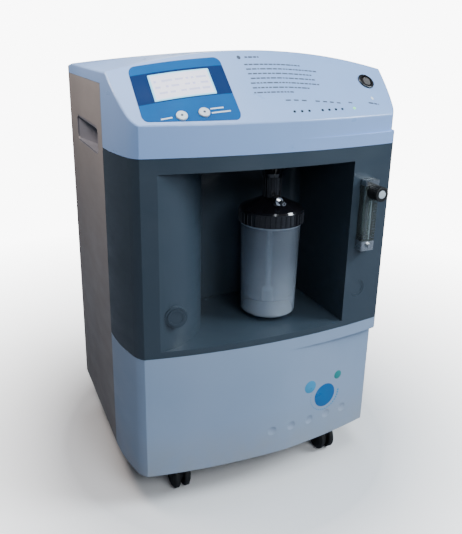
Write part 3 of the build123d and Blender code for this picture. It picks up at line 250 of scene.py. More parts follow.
# ---- materials of the metal, rubber and clear pieces ---------------------------------
CAST = (1.0, 1.0, 1.0)
DRAWN_UP = (1.0, 1.0, 0.04)
TURNED = (0.04, 1.0, 1.0)
cast_aluminium = metal("cast_aluminium", (0.40, 0.41, 0.42), (0.56, 0.57, 0.58), 0.48, CAST, 260.0, 0.5)
bed_aluminium = metal("bed_aluminium", (0.52, 0.53, 0.54), (0.66, 0.67, 0.68), 0.32, DRAWN_UP, 700.0, 0.2)
ground_steel = metal("ground_steel", (0.42, 0.42, 0.43), (0.58, 0.58, 0.59), 0.26, TURNED, 900.0, 0.15)
screw_steel = metal("screw_steel", (0.38, 0.38, 0.39), (0.55, 0.55, 0.56), 0.30, CAST, 1500.0, 0.2)
outlet_chrome = metal("outlet_chrome", (0.66, 0.67, 0.69), (0.80, 0.81, 0.83), 0.10, CAST, 900.0, 0.03)
flow_chrome = metal("flow_chrome", (0.50, 0.53, 0.55), (0.68, 0.71, 0.73), 0.20, DRAWN_UP, 600.0, 0.08)
copper = metal("copper", (0.55, 0.26, 0.15), (0.72, 0.38, 0.22), 0.34, CAST, 300.0, 0.1)
painted_steel = metal("painted_steel", (0.12, 0.125, 0.13), (0.16, 0.165, 0.17), 0.45, CAST, 700.0, 0.3, 0.0)
tank_paint = metal("tank_paint", (0.48, 0.50, 0.52), (0.56, 0.58, 0.60), 0.30, CAST, 500.0, 0.15, 0.0)
float_black = metal("float_black", (0.010, 0.010, 0.012), (0.030, 0.030, 0.034), 0.15, CAST, 900.0, 0.05)
wheel_rubber = plastic("wheel_rubber", (0.004, 0.004, 0.004), (0.012, 0.012, 0.012), 0.55, 700.0, 0.25)
mount_rubber = plastic("mount_rubber", (0.012, 0.012, 0.012), (0.024, 0.024, 0.024), 0.75, 500.0, 0.4)
hose_rubber = plastic("hose_rubber", (0.22, 0.25, 0.26), (0.30, 0.33, 0.34), 0.42, 400.0, 0.1)
jar_clear = clear("jar_clear", (0.62, 0.72, 0.84), (0.68, 0.78, 0.90), 0.20, 0.90, ripple=9.0)
tube_clear = clear("tube_clear", (0.55, 0.66, 0.63), (0.66, 0.76, 0.73), 0.05, 0.93)

JAR_HAZE_LOW = 0.245        # metres above the floor, where the jar is cloudiest
JAR_HAZE_HIGH = 0.330       # metres above the floor, where the jar is clearest
JAR_CLOUDY = 0.66           # share of light let through where it is cloudiest
JAR_CLEAREST = 0.88
jar_tree = jar_clear.node_tree
jar_height = split_axes(jar_tree, jar_tree.nodes["Texture Coordinate"].outputs["Object"])[2]
jar_clarity = spread(jar_tree, jar_height, JAR_CLOUDY, JAR_CLEAREST, JAR_HAZE_LOW, JAR_HAZE_HIGH)
jar_tree.links.new(jar_clarity, jar_tree.nodes["Principled BSDF"].inputs["Transmission Weight"])

# Places on the panel that the looks below need, in metres.
BAND_FRONT_Y = -0.1195
BAND_BACK_Y = -0.0855
WINDOW_LEFT_X = -0.1412
WINDOW_RIGHT_X = -0.0712
WINDOW_FRONT_Y = -0.1168
WINDOW_BACK_Y = -0.0895
BLOCKS_LEFT_X = -0.1385
BLOCKS_RIGHT_X = -0.0745
BLOCKS_FRONT_Y = -0.1150
BLOCKS_BACK_Y = -0.0915
LIT_LED_X = 0.100           # the lens to the right of this is lit

# The spacing and ink of the display's plain blocks.
BLOCKS_PER_METRE = 310.0
ROWS_PER_METRE = 150.0
BLANK_SHARE = 0.45          # share of the blocks that stay blank
BLOCK_INK = 0.55


def make_foam():
    """Open-cell filter foam."""
    material, tree, shader, place = new_material("filter_foam")
    cells = tree.nodes.new("ShaderNodeTexVoronoi")
    cells.inputs["Scale"].default_value = 700.0
    tree.links.new(place, cells.inputs["Vector"])
    colour = blend_colours(tree, cells.outputs["Distance"], (0.008, 0.008, 0.009), (0.06, 0.06, 0.062))
    tree.links.new(colour, shader.inputs["Base Color"])
    tree.links.new(spread(tree, noise(tree, place, 90.0), 0.8, 1.0), shader.inputs["Roughness"])
    add_bump(tree, shader, cells.outputs["Distance"], 0.9, 0.0012)
    return material


def make_label():
    """Printed film: mid blue with a navy band across it at the height of the display."""
    material, tree, shader, place = new_material("label_film")
    y = split_axes(tree, place)[1]
    wobble = spread(tree, noise(tree, place, 30.0), 0.0, 1.0)
    mid_blue = blend_colours(tree, wobble, (0.0, 0.080, 0.270), (0.001, 0.098, 0.310))
    band = between(tree, y, BAND_FRONT_Y, BAND_BACK_Y)
    colour = blend_colours(tree, band, mid_blue, (0.0, 0.022, 0.105))
    tree.links.new(colour, shader.inputs["Base Color"])
    tree.links.new(spread(tree, noise(tree, place, 60.0, 6.0), 0.34, 0.50), shader.inputs["Roughness"])
    shader.inputs["Specular IOR Level"].default_value = 0.12
    add_bump(tree, shader, noise(tree, place, 1400.0), 0.1, FILM_BUMP)
    return material


def make_display():
    """Lit liquid-crystal display with a cyan edge and rows of plain blocks in place of any text."""
    material, tree, shader, place = new_material("display_panel")
    x, y = split_axes(tree, place)[:2]
    glow = spread(tree, noise(tree, place, 26.0, 2.0), 0.0, 1.0)
    paper = blend_colours(tree, glow, (0.70, 0.70, 0.90), (0.86, 0.82, 0.93))
    column = calculate(tree, "FLOOR", calculate(tree, "MULTIPLY", x, BLOCKS_PER_METRE))
    row = calculate(tree, "FLOOR", calculate(tree, "MULTIPLY", y, ROWS_PER_METRE))
    cell = tree.nodes.new("ShaderNodeCombineXYZ")
    tree.links.new(column, cell.inputs[0])
    tree.links.new(row, cell.inputs[1])
    dice = tree.nodes.new("ShaderNodeTexWhiteNoise")
    dice.noise_dimensions = "3D"
    tree.links.new(cell.outputs[0], dice.inputs["Vector"])
    filled = calculate(tree, "GREATER_THAN", dice.outputs["Value"], BLANK_SHARE)
    line = calculate(tree, "FRACT", calculate(tree, "MULTIPLY", y, ROWS_PER_METRE))
    inked = calculate(tree, "MULTIPLY", filled, between(tree, line, 0.28, 0.62, 0.08))
    inside_x = between(tree, x, BLOCKS_LEFT_X, BLOCKS_RIGHT_X)
    inside_y = between(tree, y, BLOCKS_FRONT_Y, BLOCKS_BACK_Y)
    inked = calculate(tree, "MULTIPLY", inked, calculate(tree, "MULTIPLY", inside_x, inside_y))
    ink_share = calculate(tree, "MULTIPLY", inked, BLOCK_INK)
    block_colour = blend_colours(tree, ink_share, paper, (0.30, 0.32, 0.55))
    rim = calculate(
        tree,
        "MULTIPLY",
        between(tree, x, WINDOW_LEFT_X, WINDOW_RIGHT_X, 0.0006),
        between(tree, y, WINDOW_FRONT_Y, WINDOW_BACK_Y, 0.0006),
    )
    colour = blend_colours(tree, rim, (0.25, 0.72, 0.95), block_colour)
    tree.links.new(colour, shader.inputs["Base Color"])
    tree.links.new(colour, shader.inputs["Emission Color"])
    shader.inputs["Emission Strength"].default_value = 0.35
    tree.links.new(spread(tree, noise(tree, place, 80.0), 0.12, 0.24), shader.inputs["Roughness"])
    add_bump(tree, shader, noise(tree, place, 900.0), 0.05, FILM_BUMP)
    return material


def make_leds():
    """Dark tinted lenses. The right-hand one is lit green."""
    material, tree, shader, place = new_material("led_lens")
    x = split_axes(tree, place)[0]
    lit = calculate(tree, "GREATER_THAN", x, LIT_LED_X)
    speckle = spread(tree, noise(tree, place, 1500.0), 0.0, 1.0)
    unlit = blend_colours(tree, speckle, (0.010, 0.018, 0.020), (0.030, 0.045, 0.050))
    colour = blend_colours(tree, lit, unlit, (0.18, 0.85, 0.22))
    tree.links.new(colour, shader.inputs["Base Color"])
    glow = blend_colours(tree, lit, (0.0, 0.0, 0.0), (0.25, 1.0, 0.30))
    tree.links.new(glow, shader.inputs["Emission Color"])
    shader.inputs["Emission Strength"].default_value = 1.4
    tree.links.new(spread(tree, speckle, 0.10, 0.2, 0.0, 1.0), shader.inputs["Roughness"])
    return material


filter_foam = make_foam()
label_film = make_label()
display_panel = make_display()
led_lens = make_leds()

# ---- printed and small pieces' inks --------------------------------------------------
ink_dark = plastic("ink_dark", (0.035, 0.050, 0.085), (0.055, 0.075, 0.115), 0.5)
ink_pale = plastic("ink_pale", (0.55, 0.66, 0.76), (0.66, 0.76, 0.84), 0.4)
jar_ring = plastic("jar_ring", (0.34, 0.42, 0.52), (0.42, 0.50, 0.60), 0.3, coat=0.3)
ink_white = plastic("ink_white", (0.80, 0.85, 0.90), (0.88, 0.92, 0.95), 0.4)
bubble_blue = plastic("bubble_blue", (0.002, 0.055, 0.220), (0.006, 0.150, 0.420), 0.30, coat=0.2)
bubble_sky = plastic("bubble_sky", (0.020, 0.210, 0.460), (0.050, 0.330, 0.580), 0.30, coat=0.2)
bubble_teal = plastic("bubble_teal", (0.005, 0.170, 0.200), (0.020, 0.280, 0.280), 0.30, coat=0.2)

# ---- the CAD nodes' finishes ---------------------------------------------------------
finishes = {
    "top_cover": cover_white,
    "control_label": label_film,
    "display_window": display_panel,
    "display_module": screen_back,
    "indicator_leds": led_lens,
    "left_button": button_silver,
    "right_button": button_silver,
    "power_switch_bezel": switch_black,
    "power_rocker": rocker_sheen_brown,
    "middle_front_cover": slate,
    "screw_plugs": slate,
    "lower_front_cover": lower_white,
    "left_side_panel": shaded_side_white,
    "right_side_panel": shaded_side_white,
    "left_handle_cup": handle_slate,
    "right_handle_cup": handle_slate,
    "rear_panel": rear_white,
    "intake_foam": filter_foam,
    "intake_grille": slate,
    "power_inlet": matt_black,
    "breaker_body": matt_black,
    "breaker_button": breaker_white,
    "casing_screws": screw_steel,
    "flowmeter_tube": tube_clear,
    "flowmeter_end_blocks": flow_chrome,
    "flow_knob": matt_black,
    "flow_float": float_black,
    "humidifier_socket": gloss_black,
    "humidifier_nut": gloss_black,
    "humidifier_lid": gloss_black,
    "oxygen_outlet": outlet_chrome,
    "humidifier_jar": jar_clear,
    "diffuser_tube": diffuser_white,
    "base_chassis": painted_steel,
    "inner_shelf": painted_steel,
    "compressor_housing": cast_aluminium,
    "compressor_cylinders": cast_aluminium,
    "crank_shaft": ground_steel,
    "left_piston": cast_aluminium,
    "right_piston": cast_aluminium,
    "compressor_mounts": mount_rubber,
    "fan_frame": matt_black,
    "fan_impeller": matt_black,
    "heat_exchanger": copper,
    "left_sieve_bed": bed_aluminium,
    "right_sieve_bed": bed_aluminium,
    "product_tank": tank_paint,
    "valve_manifold": cast_aluminium,
    "supply_hose": hose_rubber,
    "oxygen_hose": hose_rubber,
    "intake_muffler": matt_black,
    "control_board": board_green,
}
for end in ("front", "rear"):
    for side in ("left", "right"):
        finishes[f"{end}_{side}_caster_fork"] = matt_black
        finishes[f"{end}_{side}_caster_wheels"] = wheel_rubber
for name, node in nodes.items():
    node.data.materials.clear()
    node.data.materials.append(finishes[name])


# ---- mesh helpers for the new pieces -------------------------------------------------
STRIP_LENGTH = 6.0          # longest straight run of a printed bar, in degrees on the jar
DOME_EDGE = 0.04            # how far a badge's edge stands above its surface


def piece(name, mesh_builder, material, body):
    """Makes one object from a bmesh and puts it on its body."""
    mesh = bpy.data.meshes.new(name)
    bmesh.ops.recalc_face_normals(mesh_builder, faces=mesh_builder.faces[:])
    mesh_builder.to_mesh(mesh)
    mesh_builder.free()
    obj = bpy.data.objects.new(name, mesh)
    bpy.context.scene.collection.objects.link(obj)
    mesh.materials.append(material)
    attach(obj, body)
    return obj


def add_strip(builder, place, left, right, low, high, thickness, sink=0.03):
    """A thin printed bar on a curved surface, between two u and two v values."""
    count = max(1, math.ceil((right - left) / STRIP_LENGTH))
    rows = []
    for step in range(count + 1):
        u = left + (right - left) * step / count
        rows.append(
            (
                builder.verts.new(place(u, low, thickness)),
                builder.verts.new(place(u, high, thickness)),
                builder.verts.new(place(u, high, -sink)),
                builder.verts.new(place(u, low, -sink)),
            )
        )
    for first, second in zip(rows, rows[1:]):
        for corner in range(4):
            following = (corner + 1) % 4
            builder.faces.new((first[corner], second[corner], second[following], first[following]))
    builder.faces.new(rows[0])
    builder.faces.new(tuple(reversed(rows[-1])))


def add_dome(builder, place, centre_u, centre_v, radius, height, rings=5, steps=40, sink=0.05):
    """A thin round badge with a domed top, on a curved surface."""
    rim = []
    crown = builder.verts.new(place(centre_u, centre_v, height))
    loops = []
    for ring in range(1, rings + 1):
        share = ring / rings
        lift = height * (1 - share**3) + DOME_EDGE
        loop = []
        for step in range(steps):
            angle = 2 * math.pi * step / steps
            u = centre_u + radius * share * math.cos(angle)
            v = centre_v + radius * share * math.sin(angle)
            loop.append(builder.verts.new(place(u, v, lift)))
        loops.append(loop)
    for step in range(steps):
        angle = 2 * math.pi * step / steps
        u = centre_u + radius * math.cos(angle)
        v = centre_v + radius * math.sin(angle)
        rim.append(builder.verts.new(place(u, v, -sink)))
    loops.append(rim)
    for step in range(steps):
        following = (step + 1) % steps
        builder.faces.new((crown, loops[0][step], loops[0][following]))
        for inner, outer in zip(loops, loops[1:]):
            builder.faces.new((inner[step], outer[step], outer[following], inner[following]))
    builder.faces.new(rim)


def add_turned(builder, centre, axis, profile, steps=40):
    """A closed turned solid about an axis, from (radius, distance along the axis) pairs."""
    axis = Vector(axis).normalized()
    side = axis.orthogonal().normalized()
    across = axis.cross(side)
    centre = Vector(centre)
    loops = []
    for radius, along in profile:
        loop = []
        for step in range(steps):
            angle = 2 * math.pi * step / steps
            spoke = side * math.cos(angle) + across * math.sin(angle)
            loop.append(builder.verts.new((centre + axis * along + spoke * radius) * MM))
        loops.append(loop)
    for first, second in zip(loops, loops[1:]):
        for step in range(steps):
            following = (step + 1) % steps
            builder.faces.new((first[step], second[step], second[following], first[following]))
    builder.faces.new(loops[0])
    builder.faces.new(tuple(reversed(loops[-1])))


def smooth(obj, hard_edge=38):
    """Smooth shading, with hard edges kept by angle in degrees."""
    for polygon in obj.data.polygons:
        polygon.use_smooth = True
    modifier = obj.modifiers.new("edges", "EDGE_SPLIT")
    modifier.split_angle = math.radians(hard_edge)


# ---- row of dimples in the lower cover -----------------------------------------------
# The CAD has the leftmost dimple. The shell is its lower cover with the other four cut as well.
DIMPLE_FIRST_X = 33.9
DIMPLE_STEP = 30.4
DIMPLE_COUNT = 4
DIMPLE_Z = 88.0
DIMPLE_BALL = 22.0
DIMPLE_DEPTH = 1.1


def add_ball(builder, centre, radius, rings=40, steps=80):
    """A closed ball about a centre, in millimetres."""
    profile = []
    for ring in range(1, rings):
        angle = math.pi * ring / rings
        profile.append((radius * math.sin(angle), -radius * math.cos(angle)))
    add_turned(builder, centre, (0, 0, 1), profile, steps)


cutter_builder = bmesh.new()
for index in range(DIMPLE_COUNT):
    x = DIMPLE_FIRST_X + DIMPLE_STEP * index
    slope = (front_y(x + 1, LOWER_RECESS) - front_y(x - 1, LOWER_RECESS)) / 2
    outward = Vector((slope, -1, 0)).normalized()
    surface = Vector((x, front_y(x, LOWER_RECESS), DIMPLE_Z))
    add_ball(cutter_builder, surface + outward * (DIMPLE_BALL - DIMPLE_DEPTH), DIMPLE_BALL)
bmesh.ops.recalc_face_normals(cutter_builder, faces=cutter_builder.faces[:])
cutter_mesh = bpy.data.meshes.new("dimple_cutter")
cutter_builder.to_mesh(cutter_mesh)
cutter_builder.free()
cutter = bpy.data.objects.new("dimple_cutter", cutter_mesh)
bpy.context.scene.collection.objects.link(cutter)
rough_shell = bpy.data.objects.new("rough_shell", nodes["lower_front_cover"].data.copy())
bpy.context.scene.collection.objects.link(rough_shell)
dimple_cut = rough_shell.modifiers.new("dimples", "BOOLEAN")
dimple_cut.operation = "DIFFERENCE"
dimple_cut.solver = "EXACT"
dimple_cut.use_self = True
dimple_cut.object = cutter
bpy.context.view_layer.update()
cut_shell = rough_shell.evaluated_get(bpy.context.evaluated_depsgraph_get())
shell_mesh = bpy.data.meshes.new_from_object(cut_shell)
shell_mesh.name = "lower_cover_shell"
bpy.data.objects.remove(rough_shell)
bpy.data.objects.remove(cutter)
shell_mesh.materials.clear()
shell_mesh.materials.append(lower_white)
lower_shell = bpy.data.objects.new("lower_cover_shell", shell_mesh)
bpy.context.scene.collection.objects.link(lower_shell)
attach(lower_shell, "housing")
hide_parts("lower_front_cover")
smooth(lower_shell, 14)
even_shading = lower_shell.modifiers.new("even_shading", "WEIGHTED_NORMAL")
even_shading.keep_sharp = True

# ---- printed marks on the control panel ----------------------------------------------
PRINT = 0.12                # how far printed ink stands above its surface
DOT_PRINT = 0.1             # the same for printed dots
SHORT_WORD = 2.2
LONG_WORD = 7.5
WORD_GAP = 1.3
LINE_END = 1.0              # no word starts closer than this to the right end of its line
ink_dice = random.Random(11)


def words(builder, place, left, right, low, high):
    """A row of bars with gaps, the length of a line of print."""
    start = left
    while start < right - LINE_END:
        length = min(ink_dice.uniform(SHORT_WORD, LONG_WORD), right - start)
        add_strip(builder, place, start, start + length, low, high, PRINT)
        start += length + WORD_GAP


NOTICE_TOP_Y = -85.5
NOTICE_STEP = 5.8
NOTICE_HALF_HEIGHT = 0.75
notice_ends = (
    (-20.5, 58.0),
    (-20.5, 77.0),
    (-20.5, 69.0),
    (-19.5, 69.0),
    (-22.0, 74.0),
    (-22.0, 55.0),
    (-23.0, 30.0),
)
# Bars as left, right, low and high on the panel.
HEADING = (-16.0, 3.0, -77.0, -75.2)
LIT_LED_MARK = (104.0, 109.5, -129.0, -127.6)
SWITCH_WORDS = (137.0, 153.0, -125.6, -123.9)
LED_MARKS_LOW = -131.0
LED_MARKS_HIGH = -129.6
led_marks = (
    (14.0, 21.0),
    (25.0, 31.5),
    (36.0, 42.5),
    (55.0, 61.0),
    (65.5, 71.5),
    (75.5, 81.0),
    (85.5, 91.0),
)
panel_marks = bmesh.new()
for row, (left, right) in enumerate(notice_ends):
    y = NOTICE_TOP_Y - NOTICE_STEP * row
    words(panel_marks, on_panel, left, right, y - NOTICE_HALF_HEIGHT, y + NOTICE_HALF_HEIGHT)
words(panel_marks, on_panel, *HEADING)
for left, right in led_marks:
    add_strip(panel_marks, on_panel, left, right, LED_MARKS_LOW, LED_MARKS_HIGH, PRINT)
add_strip(panel_marks, on_panel, *LIT_LED_MARK, PRINT)
words(panel_marks, on_panel, *SWITCH_WORDS)
piece("panel_marks", panel_marks, ink_dark, "housing")

# Dots as x, y and radius on the panel.
HEADING_DOT = (-24.0, -76.2, 2.4)
SWITCH_DOT = (147.0, -117.5, 1.9)
panel_dot = bmesh.new()
add_dome(panel_dot, on_panel, *HEADING_DOT, DOT_PRINT, 3, 24)
piece("panel_dot", panel_dot, ink_dark, "housing")

switch_mark = bmesh.new()
add_dome(switch_mark, on_panel, *SWITCH_DOT, DOT_PRINT, 3, 24)
piece("switch_mark", switch_mark, ink_white, "housing")

LABEL_INK_BASE = 0.39       # just above the label's film, which stands 0.38 above the panel
label_bars = (
    (-143.0, -130.0, -138.2, -136.8),
    (-84.0, -68.0, -135.0, -133.6),
    (-84.0, -61.0, -139.6, -138.2),
)


def on_label(x, y, lift=0.0):
    """Point just above the control label's film."""
    return on_panel(x, y, lift + LABEL_INK_BASE)


label_marks = bmesh.new()
for left, right, low, high in label_bars:
    add_strip(label_marks, on_label, left, right, low, high, PRINT)
piece("label_marks", label_marks, ink_pale, "housing")

# ---- emblem on the lower cover: three plain bubbles and a trail of small dots --------
BUBBLE_HEIGHT = 0.5
TRAIL_X = 90.0
TRAIL_Z = 122.0
TRAIL_RADIUS = 25.0
TRAIL_DOTS = 24
TRAIL_START = 150           # degrees
TRAIL_STEP = 9              # degrees
TRAIL_FIRST_DOT = 0.5       # radius
TRAIL_GROWTH = 0.05
bubbles = (
    ("emblem_large", 90.0, 120.0, 18.0, bubble_blue),
    ("emblem_middle", 63.0, 141.0, 9.5, bubble_sky),
    ("emblem_small", 112.0, 146.0, 6.5, bubble_teal),
)
for name, x, z, radius, ink in bubbles:
    builder = bmesh.new()
    add_dome(builder, on_lower_front, x, z, radius, BUBBLE_HEIGHT, 6, 48)
    smooth(piece(name, builder, ink, "housing"))
emblem_trail = bmesh.new()
for step in range(TRAIL_DOTS):
    angle = math.radians(TRAIL_START + step * TRAIL_STEP)
    dot_x = TRAIL_X + TRAIL_RADIUS * math.cos(angle)
    dot_z = TRAIL_Z + TRAIL_RADIUS * math.sin(angle)
    dot_radius = TRAIL_FIRST_DOT + TRAIL_GROWTH * step
    add_dome(emblem_trail, on_lower_front, dot_x, dot_z, dot_radius, DOT_PRINT, 2, 12)
piece("emblem_trail", emblem_trail, bubble_sky, "housing")

# ---- button dots ---------------------------------------------------------------------
BUTTONS_Y = -137.6
BUTTON_RISE = 2.3           # above the panel, just under a button's top
BUTTON_DOT = ((1.5, -0.3), (1.5, 0.12), (1.2, 0.22), (0.4, 0.26))
for name, x in (("left_button", -119.0), ("right_button", -92.5)):
    builder = bmesh.new()
    slope = x / math.sqrt(BOW_RADIUS**2 - x**2)
    outward = Vector((PANEL_SLOPE * slope, -PANEL_SLOPE, 1.0)).normalized()
    top = on_panel(x, BUTTONS_Y) / MM + outward * BUTTON_RISE
    add_turned(builder, top, outward, BUTTON_DOT, 24)
    smooth(piece(name + "_dot", builder, ink_dark, name))

# ---- flowmeter scale and knob cap ----------------------------------------------------
FLOW_X = 129.5
FLOW_FACE_Y = -160.0
FLOW_HALF_WIDTH = 8.0       # from the middle of the face to where the ticks start
FLOW_LOW_Z = 354.0
FLOW_TICKS = 13
FLOW_TICK_STEP = 4.0
FLOW_TICK_HEIGHT = 0.6
FLOW_LONG_TICK = 4.4        # every third tick
FLOW_SHORT_TICK = 2.6
FLOW_PRINT = 0.08
KNOB_X = 130.0
KNOB_Z = 417.0
KNOB_CAP = ((4.0, 0.15), (5.1, 0.35), (5.4, 0.6), (5.4, 1.1))


def on_flow(x, z, lift=0.0):
    """Point on the flowmeter's flat face."""
    return Vector((x, FLOW_FACE_Y - lift, z)) * MM


flow_scale = bmesh.new()
flow_left = FLOW_X - FLOW_HALF_WIDTH
flow_right = FLOW_X + FLOW_HALF_WIDTH
for tick in range(FLOW_TICKS):
    low = FLOW_LOW_Z + tick * FLOW_TICK_STEP
    high = low + FLOW_TICK_HEIGHT
    reach = FLOW_LONG_TICK if tick % 3 == 0 else FLOW_SHORT_TICK
    add_strip(flow_scale, on_flow, flow_left, flow_left + reach, low, high, FLOW_PRINT)
    add_strip(flow_scale, on_flow, flow_right - reach, flow_right, low, high, FLOW_PRINT)
piece("flow_scale", flow_scale, ink_dark, "housing")

knob_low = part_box("flow_knob")[0]
knob_centre = (KNOB_X, knob_low.y / MM, KNOB_Z)
knob_cap = bmesh.new()
add_turned(knob_cap, knob_centre, (0, 1, 0), KNOB_CAP, 36)
smooth(piece("knob_cap", knob_cap, button_silver, "flow_knob"))

# ---- rings and graduations moulded on the jar ----------------------------------------
JAR_X = 27.0
JAR_Y = -81.0
JAR_LOW_Z = 241.5
JAR_LOW_RADIUS = 37.5
JAR_HIGH_Z = 367.0
JAR_HIGH_RADIUS = 40.1
JAR_SCALE_ANGLE = 88.0      # degrees round from straight ahead, on the bottle's right
JAR_LEVELS = 7
JAR_LEVEL_LOW_Z = 268.0
JAR_LEVEL_STEP = 13.0
JAR_LEVEL_HEIGHT = 0.8
JAR_LEVEL_LIFT = 0.10
JAR_LONG_LEVELS = (1, 5)
JAR_LONG_HALF = 15.0        # degrees
JAR_SHORT_HALF = 7.0        # degrees
RING_STEPS = 64
# Each ring's low z, high z, inner radius and outer radius.
jar_rings = (
    ("jar_rim", 365.2, 367.4, 40.15, 40.7),
    ("jar_foot_ring", 241.0, 242.6, 27.5, 28.6),
)


def on_jar(angle_degrees, z, lift=0.0):
    """Point on the jar's side at an angle from straight ahead."""
    share = (z - JAR_LOW_Z) / (JAR_HIGH_Z - JAR_LOW_Z)
    radius = JAR_LOW_RADIUS + (JAR_HIGH_RADIUS - JAR_LOW_RADIUS) * share + lift
    angle = math.radians(angle_degrees - 90)
    return Vector((JAR_X + radius * math.cos(angle), JAR_Y + radius * math.sin(angle), z)) * MM


def add_ring(builder, low_z, high_z, inner, outer):
    """A closed ring of rectangular section about the jar's axis."""
    profile = ((inner, low_z), (outer, low_z), (outer, high_z), (inner, high_z))
    loops = []
    for radius, z in profile:
        loop = []
        for step in range(RING_STEPS):
            angle = 2 * math.pi * step / RING_STEPS
            place = Vector((JAR_X + radius * math.cos(angle), JAR_Y + radius * math.sin(angle), z))
            loop.append(builder.verts.new(place * MM))
        loops.append(loop)
    for first, second in zip(loops, loops[1:] + loops[:1]):
        for step in range(RING_STEPS):
            following = (step + 1) % RING_STEPS
            builder.faces.new((first[step], second[step], second[following], first[following]))


for name, low_z, high_z, inner, outer in jar_rings:
    builder = bmesh.new()
    add_ring(builder, low_z, high_z, inner, outer)
    smooth(piece(name, builder, jar_ring, "humidifier_jar"))

jar_scale = bmesh.new()
for level in range(JAR_LEVELS):
    low = JAR_LEVEL_LOW_Z + level * JAR_LEVEL_STEP
    high = low + JAR_LEVEL_HEIGHT
    half = JAR_LONG_HALF if level in JAR_LONG_LEVELS else JAR_SHORT_HALF
    left = JAR_SCALE_ANGLE - half
    right = JAR_SCALE_ANGLE + half
    add_strip(jar_scale, on_jar, left, right, low, high, JAR_LEVEL_LIFT)
piece("jar_scale", jar_scale, ink_pale, "humidifier_jar")

# ---- studio --------------------------------------------------------------------------
WHITE_OUT = 9.0             # strength that shows as white behind the object
FLOOR_HALF = 12.0           # metres
FADE_START = 0.25           # metres from the middle, where the floor starts to go white
FADE_END = 1.1
FLOOR_ROUGHNESS = 0.8
FLOOR_BOUNCE = (0.15, 0.17, 0.21)
SOFT_LIGHT = (0.86, 0.92, 1.0)
SOFT_LIGHT_STRENGTH = 0.11

floor_mesh = bmesh.new()
bmesh.ops.create_grid(floor_mesh, x_segments=8, y_segments=8, size=FLOOR_HALF)
floor_data = bpy.data.meshes.new("floor")
floor_mesh.to_mesh(floor_data)
floor_mesh.free()
floor = bpy.data.objects.new("floor", floor_data)
bpy.context.scene.collection.objects.link(floor)
floor_paint, floor_tree, floor_shader, floor_place = new_material("floor_paint")
floor_shade = blend_colours(
    floor_tree,
    spread(floor_tree, noise(floor_tree, floor_place, 1.5), 0.0, 1.0),
    (0.86, 0.86, 0.87),
    (0.90, 0.90, 0.91),
)
floor_shader.inputs["Roughness"].default_value = FLOOR_ROUGHNESS
floor_distance = floor_tree.nodes.new("ShaderNodeVectorMath")
floor_distance.operation = "LENGTH"
floor_tree.links.new(floor_place, floor_distance.inputs[0])
far_away = spread(floor_tree, floor_distance.outputs["Value"], 0.0, 1.0, FADE_START, FADE_END)
seen = floor_tree.nodes.new("ShaderNodeLightPath").outputs["Is Camera Ray"]
floor_colour = blend_colours(floor_tree, seen, FLOOR_BOUNCE, floor_shade)
floor_tree.links.new(floor_colour, floor_shader.inputs["Base Color"])
seen_far_away = calculate(floor_tree, "MULTIPLY", far_away, seen)
floor_fade = floor_tree.nodes.new("ShaderNodeMixShader")
floor_white = floor_tree.nodes.new("ShaderNodeEmission")
floor_white.inputs["Strength"].default_value = WHITE_OUT
floor_tree.links.new(seen_far_away, floor_fade.inputs[0])
floor_tree.links.new(floor_shader.outputs[0], floor_fade.inputs[1])
floor_tree.links.new(floor_white.outputs[0], floor_fade.inputs[2])
floor_tree.links.new(floor_fade.outputs[0], floor_tree.nodes["Material Output"].inputs["Surface"])
floor_data.materials.append(floor_paint)

world = bpy.data.worlds.new("studio")
bpy.context.scene.world = world
world.use_nodes = True
sky_tree = world.node_tree
soft_light = sky_tree.nodes["Background"]
soft_light.inputs["Color"].default_value = (*SOFT_LIGHT, 1.0)
soft_light.inputs["Strength"].default_value = SOFT_LIGHT_STRENGTH
white_wall = sky_tree.nodes.new("ShaderNodeBackground")
white_wall.inputs["Color"].default_value = (1.0, 1.0, 1.0, 1.0)
white_wall.inputs["Strength"].default_value = WHITE_OUT
ray_kind = sky_tree.nodes.new("ShaderNodeLightPath")
wall_or_light = sky_tree.nodes.new("ShaderNodeMixShader")
sky_tree.links.new(ray_kind.outputs["Is Camera Ray"], wall_or_light.inputs[0])
sky_tree.links.new(soft_light.outputs[0], wall_or_light.inputs[1])
sky_tree.links.new(white_wall.outputs[0], wall_or_light.inputs[2])
sky_tree.links.new(wall_or_light.outputs[0], sky_tree.nodes["World Output"].inputs["Surface"])


def lamp(name, place, aim, size, power, colour):
    """Square soft light aimed at a point."""
    data = bpy.data.lights.new(name, "AREA")
    data.size = size
    data.energy = power
    data.color = colour
    obj = bpy.data.objects.new(name, data)
    bpy.context.scene.collection.objects.link(obj)
    obj.location = place
    obj.rotation_euler = (Vector(aim) - Vector(place)).to_track_quat("-Z", "Y").to_euler()


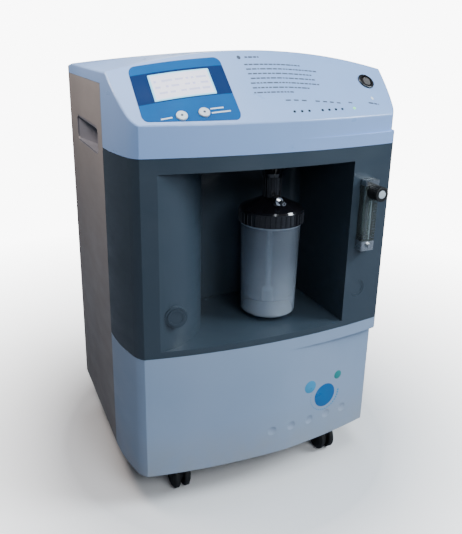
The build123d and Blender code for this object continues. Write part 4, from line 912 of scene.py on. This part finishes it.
lamp("key", (1.9, -1.1, 1.9), (0.0, 0.0, 0.35), 0.9, 76.0, (0.84, 0.93, 1.0))
lamp("top", (0.2, -0.5, 2.4), (0.0, -0.05, 0.5), 1.2, 28.0, (0.84, 0.93, 1.0))
lamp("side_fill", (-0.40, 0.04, 0.86), (-0.19, 0.02, 0.58), 0.2, 3.2, (1.0, 0.90, 0.84))
lamp("rear_fill", (0.5, 1.7, 1.5), (0.0, 0.15, 0.3), 0.6, 10.0, (0.92, 0.95, 1.0))
lamp("near_fill", (-0.30, -1.05, 0.85), (0.04, -0.05, 0.34), 0.3, 1.4, (0.90, 0.94, 1.0))
lamp("front_fill", (0.25, -1.6, 1.35), (0.02, -0.10, 0.30), 0.6, 15.0, (0.90, 0.95, 1.0))

# ---- camera --------------------------------------------------------------------------
CAMERA_PLACE = (-0.3455, -0.7797, 0.6045)
CAMERA_YAW = math.radians(22.85)
CAMERA_PITCH = math.radians(18.62)
CAMERA_ROLL = math.radians(-0.754)
CAMERA_SENSOR = 36.0        # millimetres across
CAMERA_LENS = 47.563636     # millimetres
CAMERA_SHIFT_X = 0.03
CAMERA_SHIFT_Y = -0.06
level_right = Vector((math.cos(CAMERA_YAW), -math.sin(CAMERA_YAW), 0))
level_ahead = Vector((math.sin(CAMERA_YAW), math.cos(CAMERA_YAW), 0))
ahead = level_ahead * math.cos(CAMERA_PITCH) - Vector((0, 0, math.sin(CAMERA_PITCH)))
down = -level_ahead * math.sin(CAMERA_PITCH) - Vector((0, 0, math.cos(CAMERA_PITCH)))
right = level_right * math.cos(CAMERA_ROLL) + down * math.sin(CAMERA_ROLL)
down = -level_right * math.sin(CAMERA_ROLL) + down * math.cos(CAMERA_ROLL)
camera_data = bpy.data.cameras.new("camera")
camera_data.sensor_fit = "HORIZONTAL"
camera_data.sensor_width = CAMERA_SENSOR
camera_data.lens = CAMERA_LENS
camera_data.shift_x = CAMERA_SHIFT_X
camera_data.shift_y = CAMERA_SHIFT_Y
camera = bpy.data.objects.new("camera", camera_data)
bpy.context.scene.collection.objects.link(camera)
turn = Matrix((right, -down, -ahead)).transposed().to_4x4()
camera.matrix_world = Matrix.Translation(CAMERA_PLACE) @ turn
bpy.context.scene.camera = camera

bpy.context.view_layer.update()
